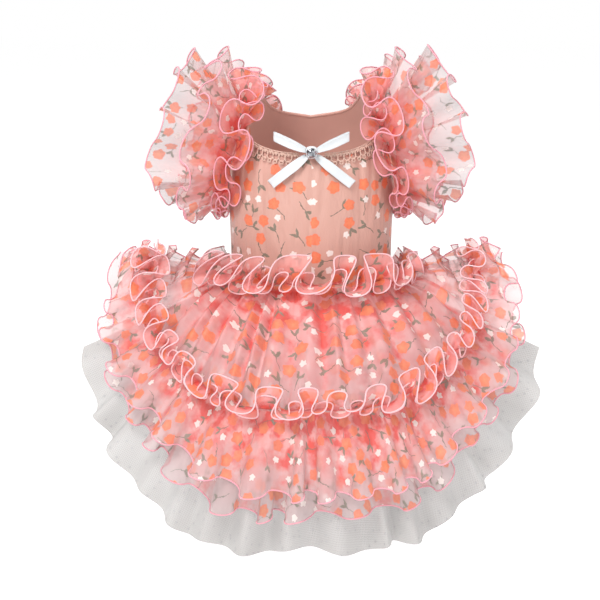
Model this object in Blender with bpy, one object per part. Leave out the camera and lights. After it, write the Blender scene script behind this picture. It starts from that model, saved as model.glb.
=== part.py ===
"""Small dog's party dress with a ruffled skirt, flutter sleeves, frills and a bow.

Metres, +Z up. The origin lies on the torso's axis at the waist seam, the displayed side faces -Y
and +X is to the right as it is seen from the displayed side.
"""
import math

import bmesh
import bpy
from mathutils import Vector

# Walls and gaps
BODICE_WALL = 0.0015
FLOUNCE_WALL = 0.0012
RIBBON_WALL = 0.0010
LACE_WALL = 0.0010
SEAM_GAP = 0.0004

# Bodice
WAIST_HALF_WIDTH = 0.0525
WAIST_HALF_DEPTH = 0.046
SHOULDER_HEIGHT = 0.122
BODICE_DROP = 0.003

# Armholes
ARM_HEIGHT = 0.080
ARM_BACK = 0.006
ARM_HALF_HEIGHT = 0.023
ARM_HALF_DEPTH = 0.018

# Sleeves and shoulder frills
SLEEVE_LENGTH = 0.056
INNER_SLEEVE_LENGTH = 0.046
SLEEVE_FOLD = 0.0055
SLEEVE_FOLDS = 9
FRILL_LENGTH = 0.030
FRILL_FOLD = 0.0035
FRILL_FOLDS = 9
FRILL_OPENING = math.radians(14)

# Skirt
SKIRT_LENGTH = 0.172
SKIRT_TURN = math.radians(112)
TULLE_TURN = math.radians(93)
UPPER_HEM = 0.78
LOWER_HEM = 0.87
FLOUNCE_FOLD = 0.0050
FLOUNCE_FOLDS = 13
TULLE_FOLD = 0.0045
OVERSKIRT_PUFF = 0.0025

# Waist and middle ruffles
WAIST_RUFFLE_LENGTH = 0.021
WAIST_RUFFLE_DEPTH = 0.0090
WAIST_RUFFLE_FOLDS = 8
MID_RUFFLE_LENGTH = 0.018
MID_RUFFLE_DEPTH = 0.0090
MID_RUFFLE_FOLDS = 13
RUFFLE_OPENING = math.radians(21)

# Bow, stone, lace and closure
RIBBON_WIDTH = 0.006
BOW_HEIGHT = 0.0895
LOOP_REACH = 0.024
LOOP_RISE = 0.010
LOOP_THICKNESS = 0.0034
TAIL_REACH = 0.025
TAIL_DROP = 0.021
KNOT_HALF_WIDTH = 0.0034
KNOT_HEIGHT = 0.0075
STONE_RADIUS = 0.0034
STONE_HEIGHT = 0.0026
STONE_SIDES = 10
LACE_WIDTH = 0.0066
LACE_HOLES = 10
LACE_START = math.radians(9)
LACE_END = math.radians(60)
PLACKET_WIDTH = 0.012
PLACKET_LENGTH = 0.088

# Bodice sections: height as a share of the shoulder height, the others of the waist's half sizes
BODICE_COLUMNS = ("height", "width", "depth")
BODICE_SECTIONS = (
    (-0.03, 1.00, 1.00),
    (0.25, 1.02, 1.00),
    (0.50, 1.04, 1.00),
    (0.66, 1.02, 0.96),
    (0.79, 0.90, 0.85),
    (0.90, 0.76, 0.73),
    (1.00, 0.63, 0.62),
)

# Neckline: degrees round from the front, height as a share of the shoulder height
NECK_COLUMNS = ("turn", "height")
NECKLINE = (
    (0, 0.705),
    (25, 0.717),
    (48, 0.755),
    (64, 0.805),
    (78, 0.905),
    (90, 1.000),
    (115, 0.975),
    (145, 0.900),
    (180, 0.860),
)

# Sleeves and frill round the armhole: degrees from the top through the front, shares of the
# lengths, and degrees of lean from the bodice's normal
ARM_COLUMNS = ("turn", "sleeve", "outer", "inner", "frill", "frill_lean")
ARM_SECTIONS = (
    (0, 1.00, 20, 40, 1.00, 74),
    (45, 1.00, 12, 35, 0.95, 70),
    (90, 1.00, 4, 30, 0.85, 66),
    (135, 0.80, 4, 30, 0.60, 64),
    (180, 0.55, 10, 34, 0.42, 62),
    (225, 0.80, 4, 30, 0.60, 64),
    (270, 1.00, 4, 30, 0.85, 66),
    (315, 1.00, 12, 35, 0.95, 70),
    (360, 1.00, 20, 40, 1.00, 74),
)

# Skirt rays: share of the skirt's turn from the front, degrees of fan from straight down, share of
# the skirt's length, degrees of forward lean at the waist and at the hem, shares of the ray where
# the middle ruffle sits and where the tulle ends, and how deep the waist ruffle folds
SKIRT_COLUMNS = ("turn", "fan", "length", "waist_lean", "hem_lean", "seam", "tulle", "waist_fold")
SKIRT_RAYS = (
    (0.00, 0, 1.00, 50, 6, 0.50, 1.00, 1.00),
    (0.27, 15, 1.00, 48, 6, 0.49, 1.00, 1.00),
    (0.54, 34, 0.82, 40, 4, 0.46, 1.02, 0.80),
    (0.80, 61, 0.60, 22, 0, 0.48, 1.10, 0.40),
    (1.00, 96, 0.50, 4, -4, 0.60, 1.12, 0.15),
)
LEAN_CURVE = 1.35
PATH_STEPS = 14


def smooth(table, columns, name, at):
    """Read a table's column at a place, on a smooth curve through its rows."""
    rows = [(row[0], row[columns.index(name)]) for row in table]
    at = min(max(at, rows[0][0]), rows[-1][0])
    k = next(i for i in range(len(rows) - 1) if at <= rows[i + 1][0])

    def slope(i):
        low, high = rows[max(i - 1, 0)], rows[min(i + 1, len(rows) - 1)]
        return (high[1] - low[1]) / (high[0] - low[0])

    (x0, y0), (x1, y1) = rows[k], rows[k + 1]
    span = x1 - x0
    t = (at - x0) / span
    rise = (2 * t**3 - 3 * t**2 + 1) * y0 + (3 * t**2 - 2 * t**3) * y1
    return rise + (t**3 - 2 * t**2 + t) * span * slope(k) + (t**3 - t**2) * span * slope(k + 1)


def fabric(name, colour, roughness, metallic=0.0):
    """Make a plain Principled material."""
    material = bpy.data.materials.new(name)
    material.use_nodes = True
    shader = material.node_tree.nodes["Principled BSDF"]
    shader.inputs["Base Color"].default_value = (*colour, 1.0)
    shader.inputs["Roughness"].default_value = roughness
    shader.inputs["Metallic"].default_value = metallic
    return material


def add_object(name, mesh_data, material):
    """Turn a bmesh into a named, smooth shaded object with faces pointing out."""
    mesh_data.normal_update()
    bmesh.ops.recalc_face_normals(mesh_data, faces=mesh_data.faces)
    mesh = bpy.data.meshes.new(name)
    mesh_data.to_mesh(mesh)
    mesh_data.free()
    mesh.materials.append(material)
    mesh.shade_smooth()
    mesh.set_sharp_from_angle(angle=math.radians(50))
    thing = bpy.data.objects.new(name, mesh)
    bpy.context.collection.objects.link(thing)
    return thing


def cloth_wall(name, place, columns, rows, wall, material, closed=False, hole=None):
    """Make a closed wall of even thickness round the surface place(u, v), u and v from 0 to 1.

    rows lists the values of v. hole(i, j) is true for a cell that is cut through.
    """
    spans = columns if closed else columns + 1
    grid = [[place(i / columns, v) for v in rows] for i in range(spans)]
    last_row = len(rows) - 1
    normals = [[Vector() for _ in rows] for _ in range(spans)]
    for i in range(columns):
        beyond = (i + 1) % spans
        for j in range(last_row):
            rising = grid[beyond][j + 1] - grid[i][j]
            falling = grid[i][j + 1] - grid[beyond][j]
            normal = rising.cross(falling).normalized()
            for a, b in ((i, j), (beyond, j), (i, j + 1), (beyond, j + 1)):
                normals[a][b] += normal
    mesh_data = bmesh.new()
    sides = {}
    for i in range(spans):
        for j in range(last_row + 1):
            half = normals[i][j].normalized() * wall / 2
            front = mesh_data.verts.new(grid[i][j] + half)
            back = mesh_data.verts.new(grid[i][j] - half)
            sides[i, j] = (front, back)

    def is_cloth(i, j):
        if closed:
            i %= columns
        inside = 0 <= i < columns and 0 <= j < last_row
        return inside and not (hole and hole(i, j))

    for i in range(columns):
        for j in range(last_row):
            if not is_cloth(i, j):
                continue
            corners = [(i, j), (i + 1, j), (i + 1, j + 1), (i, j + 1)]
            corners = [(a % spans, b) for a, b in corners]
            spots = [grid[a][b] for a, b in corners]
            if (spots[0] - spots[2]).length < (spots[1] - spots[3]).length:
                halves = ((0, 1, 2), (0, 2, 3))
            else:
                halves = ((0, 1, 3), (1, 2, 3))
            for half in halves:
                mesh_data.faces.new([sides[corners[k]][0] for k in half])
                mesh_data.faces.new([sides[corners[k]][1] for k in reversed(half)])
            beside = [(i, j - 1), (i + 1, j), (i, j + 1), (i - 1, j)]
            for side, (a, b) in enumerate(beside):
                if not is_cloth(a, b):
                    start, end = sides[corners[side]], sides[corners[(side + 1) % 4]]
                    mesh_data.faces.new([start[0], start[1], end[1]])
                    mesh_data.faces.new([start[0], end[1], end[0]])
    loose = [v for v in mesh_data.verts if not v.link_faces]
    bmesh.ops.delete(mesh_data, geom=loose, context="VERTS")
    return add_object(name, mesh_data, material)


def even(count):
    """List count + 1 even places from 0 to 1."""
    return [i / count for i in range(count + 1)]


# Bodice surface


def half_sizes(height):
    """Give the torso's half width and half depth at a height, at the middle of the wall."""
    share = height / SHOULDER_HEIGHT
    width = WAIST_HALF_WIDTH * smooth(BODICE_SECTIONS, BODICE_COLUMNS, "width", share)
    depth = WAIST_HALF_DEPTH * smooth(BODICE_SECTIONS, BODICE_COLUMNS, "depth", share)
    return width, depth


def bodice_point(turn, height, stand_off=0.0):
    """Give a point of the bodice, turned from the front, standing off from its wall's middle."""
    width, depth = half_sizes(height)
    return Vector(
        (
            (width + stand_off) * math.sin(turn),
            -(depth + stand_off) * math.cos(turn),
            height,
        )
    )


def neck_height(turn):
    """Give the neckline's height at an angle from the front."""
    degrees = abs(math.degrees(math.atan2(math.sin(turn), math.cos(turn))))
    return SHOULDER_HEIGHT * smooth(NECKLINE, NECK_COLUMNS, "height", degrees)


def front_turn(across, height):
    """Give the angle from the front at which the bodice is across metres from its middle."""
    return math.asin(across / half_sizes(height)[0])


# Skirt surface


def ray(turn, name):
    """Read a column of the skirt's rays at an angle from the front."""
    return smooth(SKIRT_RAYS, SKIRT_COLUMNS, name, abs(turn) / SKIRT_TURN)


def ray_direction(turn, share):
    """Give the skirt's direction at a share of the ray's length."""
    fan = math.copysign(math.radians(ray(turn, "fan")), turn)
    waist, hem = ray(turn, "waist_lean"), ray(turn, "hem_lean")
    lean = math.radians(hem + (waist - hem) * max(1 - share, 0.0) ** LEAN_CURVE)
    flat = Vector((math.sin(fan), 0, -math.cos(fan)))
    return flat * math.cos(lean) + Vector((0, -math.sin(lean), 0))


def waist_point(turn, stand_off):
    """Give a point of the waist seam, outside the bodice's wall."""
    return bodice_point(turn, 0.0, BODICE_WALL / 2 + stand_off)


def skirt_base(turn, share):
    """Give a point of the skirt's innermost surface."""
    point = waist_point(turn, SEAM_GAP + FLOUNCE_WALL / 2)
    step = share / PATH_STEPS
    length = SKIRT_LENGTH * ray(turn, "length")
    for k in range(PATH_STEPS):
        point = point + ray_direction(turn, (k + 0.5) * step) * length * step
    return point


def skirt_normal(turn, share):
    """Give the skirt's outward normal."""
    nudge = 0.01
    along = skirt_base(turn + nudge, share) - skirt_base(turn - nudge, share)
    return along.cross(-ray_direction(turn, share)).normalized()


def swell(start, end, share, power=1.3):
    """Give a fold's share of its full depth, from none at start to all at end."""
    return max((share - start) / (end - start), 0.0) ** power


LAYER_PITCH = FLOUNCE_WALL + SEAM_GAP * 1.5


def tulle_depth(share):
    return TULLE_FOLD * swell(0.0, 1.0, share)


def lower_depth(share):
    return FLOUNCE_FOLD * swell(0.0, LOWER_HEM, share)


def lower_level(share):
    return LAYER_PITCH + tulle_depth(share) + lower_depth(share)


def top_level(share):
    """Give the level of the seam that the overskirt and the upper flounce share."""
    return lower_level(share) + LAYER_PITCH + lower_depth(share)


def skirt_place(turn, share, level):
    """Give a point of the skirt, standing off from the innermost surface."""
    outward = Vector((math.sin(turn), -math.cos(turn), 0))
    return skirt_base(turn, share) + skirt_normal(turn, share) * level + outward * 0.3 * level


def wave(u, folds, phase=0.0):
    return math.sin(2 * math.pi * folds * u + phase)


def tulle_place(u, v):
    turn = (2 * u - 1) * TULLE_TURN
    share = v * ray(turn, "tulle")
    return skirt_place(turn, share, tulle_depth(share) * wave(u, FLOUNCE_FOLDS, 1.0))


def lower_place(u, v):
    turn = (2 * u - 1) * SKIRT_TURN
    share = v * LOWER_HEM
    level = lower_level(share) + lower_depth(share) * wave(u, FLOUNCE_FOLDS, 2.2)
    return skirt_place(turn, share, level)


def over_place(u, v):
    turn = (2 * u - 1) * SKIRT_TURN
    share = v * (ray(turn, "seam") - SEAM_GAP / SKIRT_LENGTH)
    puff = OVERSKIRT_PUFF * math.sin(math.pi * v)
    level = top_level(share) + puff * (1 + wave(u, FLOUNCE_FOLDS * 2 - 1))
    return skirt_place(turn, share, level)


def upper_place(u, v):
    turn = (2 * u - 1) * SKIRT_TURN
    seam = ray(turn, "seam") + 2 * SEAM_GAP / SKIRT_LENGTH
    share = seam + (UPPER_HEM - seam) * v
    depth = FLOUNCE_FOLD * swell(0, 1, v)
    return skirt_place(turn, share, top_level(share) + depth * (1 + wave(u, FLOUNCE_FOLDS, 0.4)))


def make_skirt(organza, tulle):
    """Make the underskirt, the two flounces and the overskirt."""
    cloth_wall("tulle_underskirt", tulle_place, 60, even(3), FLOUNCE_WALL, tulle)
    cloth_wall("lower_flounce", lower_place, 60, even(3), FLOUNCE_WALL, organza("lower_flounce"))
    cloth_wall("overskirt", over_place, 50, even(3), FLOUNCE_WALL, organza("overskirt"))
    cloth_wall("upper_flounce", upper_place, 60, even(2), FLOUNCE_WALL, organza("upper_flounce"))


# Double-edged ruffles


def leaf(middle, side, opening, across):
    """Turn a ruffle's middle direction to one of its two leaves, across from -1 to 1."""
    return middle * math.cos(opening * across) + side * math.sin(opening * across)


def waist_ruffle_place(u, v):
    across = 2 * v - 1
    turn = (2 * u - 1) * SKIRT_TURN
    lift = top_level(0) + FLOUNCE_WALL + SEAM_GAP * 2
    along = (waist_point(turn + 0.01, 0) - waist_point(turn - 0.01, 0)).normalized()
    down = ray_direction(turn, 0.0)
    room = down.angle(Vector((0, 0, 1)))
    outward = along.cross(Vector((0, 0, 1))).normalized()
    rise = math.pi / 2 - room * 0.50
    middle = outward * math.cos(rise) + Vector((0, 0, math.sin(rise)))
    upward = Vector((0, 0, math.cos(rise))) - outward * math.sin(rise)
    fullness = ray(turn, "waist_fold")
    fold = WAIST_RUFFLE_DEPTH * fullness * wave(u, WAIST_RUFFLE_FOLDS, 0.6)
    reach = abs(across)
    base = skirt_place(turn, 0.0, lift)
    opening = RUFFLE_OPENING * (0.4 + 0.6 * fullness)
    length = WAIST_RUFFLE_LENGTH * (0.55 + 0.45 * fullness)
    edge = leaf(middle, upward, opening, across) * length
    return base + (edge + upward * fold) * reach


def mid_ruffle_place(u, v):
    across = 2 * v - 1
    turn = (2 * u - 1) * SKIRT_TURN
    seam = ray(turn, "seam")
    lift = top_level(seam) + FLOUNCE_WALL + SEAM_GAP * 2
    base = skirt_place(turn, seam, lift)
    middle = skirt_normal(turn, seam)
    upward = -ray_direction(turn, seam)
    fold = MID_RUFFLE_DEPTH * wave(u, MID_RUFFLE_FOLDS, 0.3)
    reach = abs(across)
    edge = leaf(middle, upward, RUFFLE_OPENING, across) * MID_RUFFLE_LENGTH
    return base + (edge + upward * fold) * reach


def make_ruffles(organza):
    """Make the double-edged ruffles on the waist and over the skirt's middle seam."""
    leaves = (0.0, 0.5, 1.0)
    cloth_wall(
        "waist_ruffle", waist_ruffle_place, 72, leaves, FLOUNCE_WALL, organza("waist_ruffle")
    )
    cloth_wall("mid_ruffle", mid_ruffle_place, 91, leaves, FLOUNCE_WALL, organza("mid_ruffle"))


# Armhole, sleeves and frills


def arm_frame(turn, margin):
    """Give a point round the armhole, the bodice's normal there and the way off the hole."""

    def on_bodice(extra):
        back = ARM_BACK - (ARM_HALF_DEPTH + extra) * math.sin(turn)
        height = ARM_HEIGHT + (ARM_HALF_HEIGHT + extra) * math.cos(turn)
        width, depth = half_sizes(height)
        return Vector((width * math.sqrt(1 - (back / depth) ** 2), back, height))

    point = on_bodice(margin)
    off = (on_bodice(margin + 0.001) - on_bodice(margin - 0.001)).normalized()
    width, depth = half_sizes(point.z)
    flat = Vector((point.x / width**2, point.y / depth**2, 0)).normalized()
    around = Vector((-flat.y, flat.x, 0))
    nudge = 0.001
    above, below = half_sizes(point.z + nudge), half_sizes(point.z - nudge)
    slope = (above[0] - below[0]) / (2 * nudge) * flat.x
    up = Vector((slope * flat.x, slope * flat.y, 1)).normalized()
    normal = around.cross(up).normalized()
    if normal.x < 0:
        normal = -normal
    off = (off - normal * off.dot(normal)).normalized()
    return point, normal, off


def arm(turn, name):
    """Read a column of the sleeve table at an angle round the armhole."""
    return smooth(ARM_SECTIONS, ARM_COLUMNS, name, math.degrees(turn) % 360)


def sleeve_place(side, ring, length, lean_name, phase):
    """Give the surface function of one sleeve flounce, with ring counting from the hole."""

    def place(u, v):
        turn = 2 * math.pi * u
        margin = SEAM_GAP + FLOUNCE_WALL / 2 + ring * LAYER_PITCH
        point, normal, off = arm_frame(turn, margin)
        lean = math.radians(arm(turn, lean_name))
        way = normal * math.cos(lean) + off * math.sin(lean)
        square = off * math.cos(lean) - normal * math.sin(lean)
        lift = BODICE_WALL / 2 + SEAM_GAP + FLOUNCE_WALL / 2
        fold = SLEEVE_FOLD * swell(0, 1, v) * wave(u, SLEEVE_FOLDS, phase)
        point = point + normal * lift + way * length * arm(turn, "sleeve") * v + square * fold
        return Vector((side * point.x, point.y, point.z))

    return place


def frill_place(side):
    """Give the surface function of one double-edged shoulder frill."""

    def place(u, v):
        across = 2 * v - 1
        turn = 2 * math.pi * u
        margin = SEAM_GAP + 2.5 * LAYER_PITCH
        point, normal, off = arm_frame(turn, margin)
        lean = math.radians(arm(turn, "frill_lean"))
        way = normal * math.cos(lean) + off * math.sin(lean)
        square = off * math.cos(lean) - normal * math.sin(lean)
        lift = BODICE_WALL / 2 + SEAM_GAP * 2 + FLOUNCE_WALL
        fold = FRILL_FOLD * wave(u, FRILL_FOLDS, 0.8)
        length = FRILL_LENGTH * arm(turn, "frill")
        edge = leaf(way, square, FRILL_OPENING, across) * length
        point = point + normal * lift + (edge + square * fold) * abs(across)
        return Vector((side * point.x, point.y, point.z))

    return place


def make_sleeves(organza):
    """Make both sleeves of two flounces each and the frill round each armhole."""
    for side, word in ((-1, "left"), (1, "right")):
        outer = sleeve_place(side, 0, SLEEVE_LENGTH, "outer", 0.0)
        inner = sleeve_place(side, 1, INNER_SLEEVE_LENGTH, "inner", 1.7)
        name = "sleeve_outer_" + word
        cloth_wall(name, outer, 48, even(2), FLOUNCE_WALL, organza(name), closed=True)
        name = "sleeve_inner_" + word
        cloth_wall(name, inner, 48, even(2), FLOUNCE_WALL, organza(name), closed=True)
        name = "shoulder_frill_" + word
        leaves = (0.0, 0.5, 1.0)
        cloth_wall(name, frill_place(side), 48, leaves, FLOUNCE_WALL, organza(name), closed=True)


# Bodice, lace and closure


def make_bodice(satin):
    """Make the bodice's back and belly, which meet at side seams, and cut both armholes."""
    cutter_data = bmesh.new()
    bmesh.ops.create_cone(
        cutter_data,
        cap_ends=True,
        segments=24,
        radius1=1.0,
        radius2=1.0,
        depth=4 * WAIST_HALF_WIDTH,
    )
    for vertex in cutter_data.verts:
        across, up, along = vertex.co
        vertex.co = (along, ARM_BACK + across * ARM_HALF_DEPTH, ARM_HEIGHT + up * ARM_HALF_HEIGHT)
    cutter = add_object("armhole_cutter", cutter_data, satin)
    cutter.hide_render = True
    cutter.display_type = "WIRE"

    side_seam = math.acos(-ARM_BACK / WAIST_HALF_DEPTH)
    half_gap = SEAM_GAP / (2 * WAIST_HALF_WIDTH)
    rows = (0.0, 0.24, 0.46, 0.64, 0.78, 0.90, 1.0)
    halves = (
        ("bodice_back", 0.0, side_seam - half_gap, 22),
        ("bodice_belly", math.pi, math.pi - side_seam - half_gap, 18),
    )
    for name, middle, reach, columns in halves:

        def place(u, v, middle=middle, reach=reach):
            turn = middle + reach * (2 * u - 1)
            height = (neck_height(turn) + BODICE_DROP) * v - BODICE_DROP
            return bodice_point(turn, height)

        half = cloth_wall(name, place, columns, rows, BODICE_WALL, satin)
        cut = half.modifiers.new("armholes", "BOOLEAN")
        cut.operation = "DIFFERENCE"
        cut.object = cutter


def make_lace(lace):
    """Make the pierced edging that straddles the neckline on each side of the bow."""

    def is_hole(i, j):
        return i % 2 == 1 and j == 1

    for side, word in ((-1, "left"), (1, "right")):

        def place(u, v, side=side):
            turn = side * (LACE_START + (LACE_END - LACE_START) * u)
            height = neck_height(turn) + LACE_WIDTH * (v - 0.5)
            return bodice_point(turn, height, BODICE_WALL / 2 + SEAM_GAP + LACE_WALL / 2)

        rows = (0.0, 0.3, 0.7, 1.0)
        name = "neck_lace_" + word
        cloth_wall(name, place, 2 * LACE_HOLES + 1, rows, LACE_WALL, lace, hole=is_hole)


def make_placket(satin):
    """Make the closed strip down the middle of the belly side."""

    def place(u, v):
        height = BODICE_DROP + PLACKET_LENGTH * v
        turn = math.pi + front_turn(PLACKET_WIDTH * (u - 0.5), height)
        return bodice_point(turn, height, BODICE_WALL / 2 + SEAM_GAP + RIBBON_WALL / 2)

    cloth_wall("closure_placket", place, 4, even(9), RIBBON_WALL, satin)


# Bow


def ribbon_front(across, height, stand_off):
    """Give a point in front of the bodice, standing off from its outer face."""
    turn = front_turn(across, min(height, BOW_HEIGHT))
    point = bodice_point(turn, min(height, BOW_HEIGHT), BODICE_WALL / 2 + stand_off)
    return Vector((point.x, point.y, height))


def blunt(share):
    """Round the loop's ends more bluntly than an ellipse's."""
    return math.copysign(abs(share) ** 0.55, share)


def make_bow(ribbon, stone):
    """Make the knot, two loops, two tails and the stone in its setting."""
    over_lace = SEAM_GAP * 2 + LACE_WALL
    tail_level = over_lace + RIBBON_WALL / 2
    loop_level = over_lace + RIBBON_WALL + SEAM_GAP + RIBBON_WALL / 2
    start = KNOT_HALF_WIDTH + SEAM_GAP
    for side, word in ((-1, "left"), (1, "right")):

        def tail(u, v, side=side):
            slope = math.atan2(TAIL_DROP, TAIL_REACH)
            along = start + (TAIL_REACH - start) * u
            across = RIBBON_WIDTH * (v - 0.5)
            slant = abs(across) if u == 1 else 0.0
            x = along + (across * math.sin(slope) + slant) * min(1, 4 * u)
            height = BOW_HEIGHT - TAIL_DROP * along / TAIL_REACH + across * math.cos(slope)
            return ribbon_front(side * x, height, tail_level)

        def loop(u, v, side=side):
            angle = 2 * math.pi * u
            along = start + (LOOP_REACH - start) * (0.5 - 0.5 * blunt(math.cos(angle)))
            puff = (LOOP_THICKNESS - RIBBON_WALL) * (0.5 - 0.5 * blunt(math.sin(angle)))
            across = RIBBON_WIDTH * (v - 0.5)
            height = BOW_HEIGHT + LOOP_RISE * along / LOOP_REACH + across
            return ribbon_front(side * along, height, loop_level + puff)

        cloth_wall("bow_tail_" + word, tail, 6, even(2), RIBBON_WALL, ribbon)
        cloth_wall("bow_loop_" + word, loop, 16, even(1), RIBBON_WALL, ribbon, closed=True)

    front = ribbon_front(0.0, BOW_HEIGHT, 0.0)
    deep = loop_level + LOOP_THICKNESS
    knot_data = bmesh.new()
    bmesh.ops.create_cube(knot_data, size=1.0)
    for vertex in knot_data.verts:
        vertex.co.x *= 2 * KNOT_HALF_WIDTH
        vertex.co.y *= deep - SEAM_GAP
        vertex.co.z *= KNOT_HEIGHT
        vertex.co += front + Vector((0, -(deep + SEAM_GAP) / 2, 0))
    bmesh.ops.bevel(
        knot_data,
        geom=knot_data.edges[:],
        offset=KNOT_HALF_WIDTH * 0.3,
        segments=2,
        affect="EDGES",
    )
    add_object("bow_knot", knot_data, ribbon)

    # Stone profile: radius and height as shares, from the setting's back to the table
    profile = ((0.80, 0.0), (1.0, 0.22), (1.0, 0.50), (0.62, 1.0))
    stone_data = bmesh.new()
    rings = []
    for radius, height in profile:
        ring = []
        for k in range(STONE_SIDES):
            angle = 2 * math.pi * (k + 0.5 * (height == 1.0)) / STONE_SIDES
            spot = Vector(
                (
                    STONE_RADIUS * radius * math.cos(angle),
                    -(deep + SEAM_GAP + STONE_HEIGHT * height),
                    STONE_RADIUS * radius * math.sin(angle),
                )
            )
            ring.append(stone_data.verts.new(front + spot))
        rings.append(ring)
    for low, high in zip(rings, rings[1:]):
        for k in range(STONE_SIDES):
            n = (k + 1) % STONE_SIDES
            stone_data.faces.new((low[k], low[n], high[n]))
            stone_data.faces.new((low[k], high[n], high[k]))
    stone_data.faces.new(rings[0])
    stone_data.faces.new(rings[-1])
    add_object("rhinestone", stone_data, stone)


def main():
    for thing in list(bpy.data.objects):
        bpy.data.objects.remove(thing, do_unlink=True)
    satin = fabric("satin", (0.80, 0.42, 0.38), 0.35)

    def organza(name):
        return fabric(name, (0.90, 0.52, 0.48), 0.6)

    make_bodice(satin)
    make_placket(fabric("placket_satin", (0.80, 0.42, 0.38), 0.4))
    make_lace(fabric("crochet", (0.80, 0.60, 0.48), 0.8))
    make_bow(
        fabric("white_satin", (0.90, 0.90, 0.90), 0.3),
        fabric("crystal", (0.45, 0.46, 0.50), 0.08, 0.9),
    )
    make_sleeves(organza)
    make_ruffles(organza)
    make_skirt(organza, fabric("tulle", (0.86, 0.87, 0.86), 0.7))


main()
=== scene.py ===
"""Looks of a small dog's party dress: satin bodice, printed organza ruffles, tulle and a bow."""
import math

import bmesh
import bpy
import numpy as np
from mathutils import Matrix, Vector


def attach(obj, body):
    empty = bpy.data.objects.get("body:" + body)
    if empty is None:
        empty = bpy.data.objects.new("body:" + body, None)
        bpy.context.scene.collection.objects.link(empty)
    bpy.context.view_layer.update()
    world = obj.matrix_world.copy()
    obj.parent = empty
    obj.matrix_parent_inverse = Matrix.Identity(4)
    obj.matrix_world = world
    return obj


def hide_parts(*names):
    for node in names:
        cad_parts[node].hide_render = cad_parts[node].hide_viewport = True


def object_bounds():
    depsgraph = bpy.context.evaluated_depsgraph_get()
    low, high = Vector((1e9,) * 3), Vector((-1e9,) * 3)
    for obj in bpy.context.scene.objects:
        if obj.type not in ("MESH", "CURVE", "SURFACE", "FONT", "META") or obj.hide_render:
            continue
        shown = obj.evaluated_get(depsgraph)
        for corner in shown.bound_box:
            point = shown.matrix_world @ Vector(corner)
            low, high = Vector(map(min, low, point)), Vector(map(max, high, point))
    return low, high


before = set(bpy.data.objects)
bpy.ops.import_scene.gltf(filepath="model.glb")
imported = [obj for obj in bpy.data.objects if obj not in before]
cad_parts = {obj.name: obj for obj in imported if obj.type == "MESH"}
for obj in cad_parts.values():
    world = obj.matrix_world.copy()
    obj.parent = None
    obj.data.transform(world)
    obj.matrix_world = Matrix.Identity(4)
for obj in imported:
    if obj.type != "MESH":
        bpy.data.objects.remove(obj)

bl_info = {
    "name": "Dog Dress",
    "version": (1, 0, 0),
    "blender": (4, 5, 0),
    "location": "3D View > Sidebar > Dog Dress",
    "description": "Builds a small dog's party dress with organza ruffles over tulle",
    "category": "Object",
}

# Sizes shared with the solids, in metres
CAD_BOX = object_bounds()
BODICE_WALL = 0.0015
CLOTH_WALL = 0.0012
SEAM_GAP = 0.0004
WAIST_HALF_WIDTH = 0.0525
WAIST_HALF_DEPTH = 0.046
SHOULDER_HEIGHT = 0.122
BODICE_DROP = 0.003
ARM_HEIGHT = 0.080
ARM_BACK = 0.006
ARM_HALF_HEIGHT = 0.023
ARM_HALF_DEPTH = 0.018
SKIRT_TURN = math.radians(112)
TULLE_TURN = math.radians(93)
LAYER_PITCH = CLOTH_WALL + SEAM_GAP * 1.5
LEAN_CURVE = 1.35
LACE_START = math.radians(9)
LACE_END = math.radians(60)
BOW_HEIGHT = 0.0895

# Bodice sections: height as a share of the shoulder height, the others of the waist's half sizes
BODICE_COLUMNS = ("height", "width", "depth")
BODICE_SECTIONS = (
    (-0.03, 1.00, 1.00),
    (0.25, 1.02, 1.00),
    (0.50, 1.04, 1.00),
    (0.66, 1.02, 0.96),
    (0.79, 0.90, 0.85),
    (0.90, 0.76, 0.73),
    (1.00, 0.63, 0.62),
)

# Neckline: degrees round from the front, height as a share of the shoulder height
NECK_COLUMNS = ("turn", "height")
NECKLINE = (
    (0, 0.705),
    (25, 0.717),
    (48, 0.755),
    (64, 0.805),
    (78, 0.905),
    (90, 1.000),
    (115, 0.975),
    (145, 0.900),
    (180, 0.860),
)

# Sleeves and frill round the armhole: degrees from the top through the front, shares of the
# lengths, and degrees of lean from the bodice's normal
ARM_COLUMNS = ("turn", "sleeve", "outer", "inner", "frill", "frill_lean")
ARM_SECTIONS = (
    (0, 1.00, 20, 40, 1.00, 74),
    (45, 1.00, 12, 35, 0.95, 70),
    (90, 1.00, 4, 30, 0.85, 66),
    (135, 0.80, 4, 30, 0.60, 64),
    (180, 0.55, 10, 34, 0.42, 62),
    (225, 0.80, 4, 30, 0.60, 64),
    (270, 1.00, 4, 30, 0.85, 66),
    (315, 1.00, 12, 35, 0.95, 70),
    (360, 1.00, 20, 40, 1.00, 74),
)

# Skirt rays: share of the skirt's turn from the front, degrees of fan from straight down, share of
# the skirt's length, degrees of forward lean at the waist and at the hem, shares of the ray where
# the middle ruffle sits and where the tulle ends, and how deep the waist ruffle folds
SKIRT_COLUMNS = ("turn", "fan", "length", "waist_lean", "hem_lean", "seam", "tulle", "waist_fold")
SKIRT_RAYS = (
    (0.00, 0, 1.00, 50, 6, 0.50, 1.00, 1.00),
    (0.27, 15, 1.00, 48, 6, 0.49, 1.00, 1.00),
    (0.54, 34, 0.82, 40, 4, 0.46, 1.02, 0.80),
    (0.80, 61, 0.60, 22, 0, 0.48, 1.10, 0.40),
    (1.00, 96, 0.50, 4, -4, 0.60, 1.12, 0.15),
)

# How far a skirt layer also stands off straight outward, as a share of its level
OUTWARD_SHARE = 0.3

# Gathered cloth that hangs over itself: the steepest angle of a fold's edge, in radians
HEM_SWING = 1.45
SLEEVE_SWING = 1.5
RUFFLE_SWING = 1.9

# Width of a weave's thread, in metres
CLOTH_THREAD = 0.0005
RIBBON_THREAD = 0.0003

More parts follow.
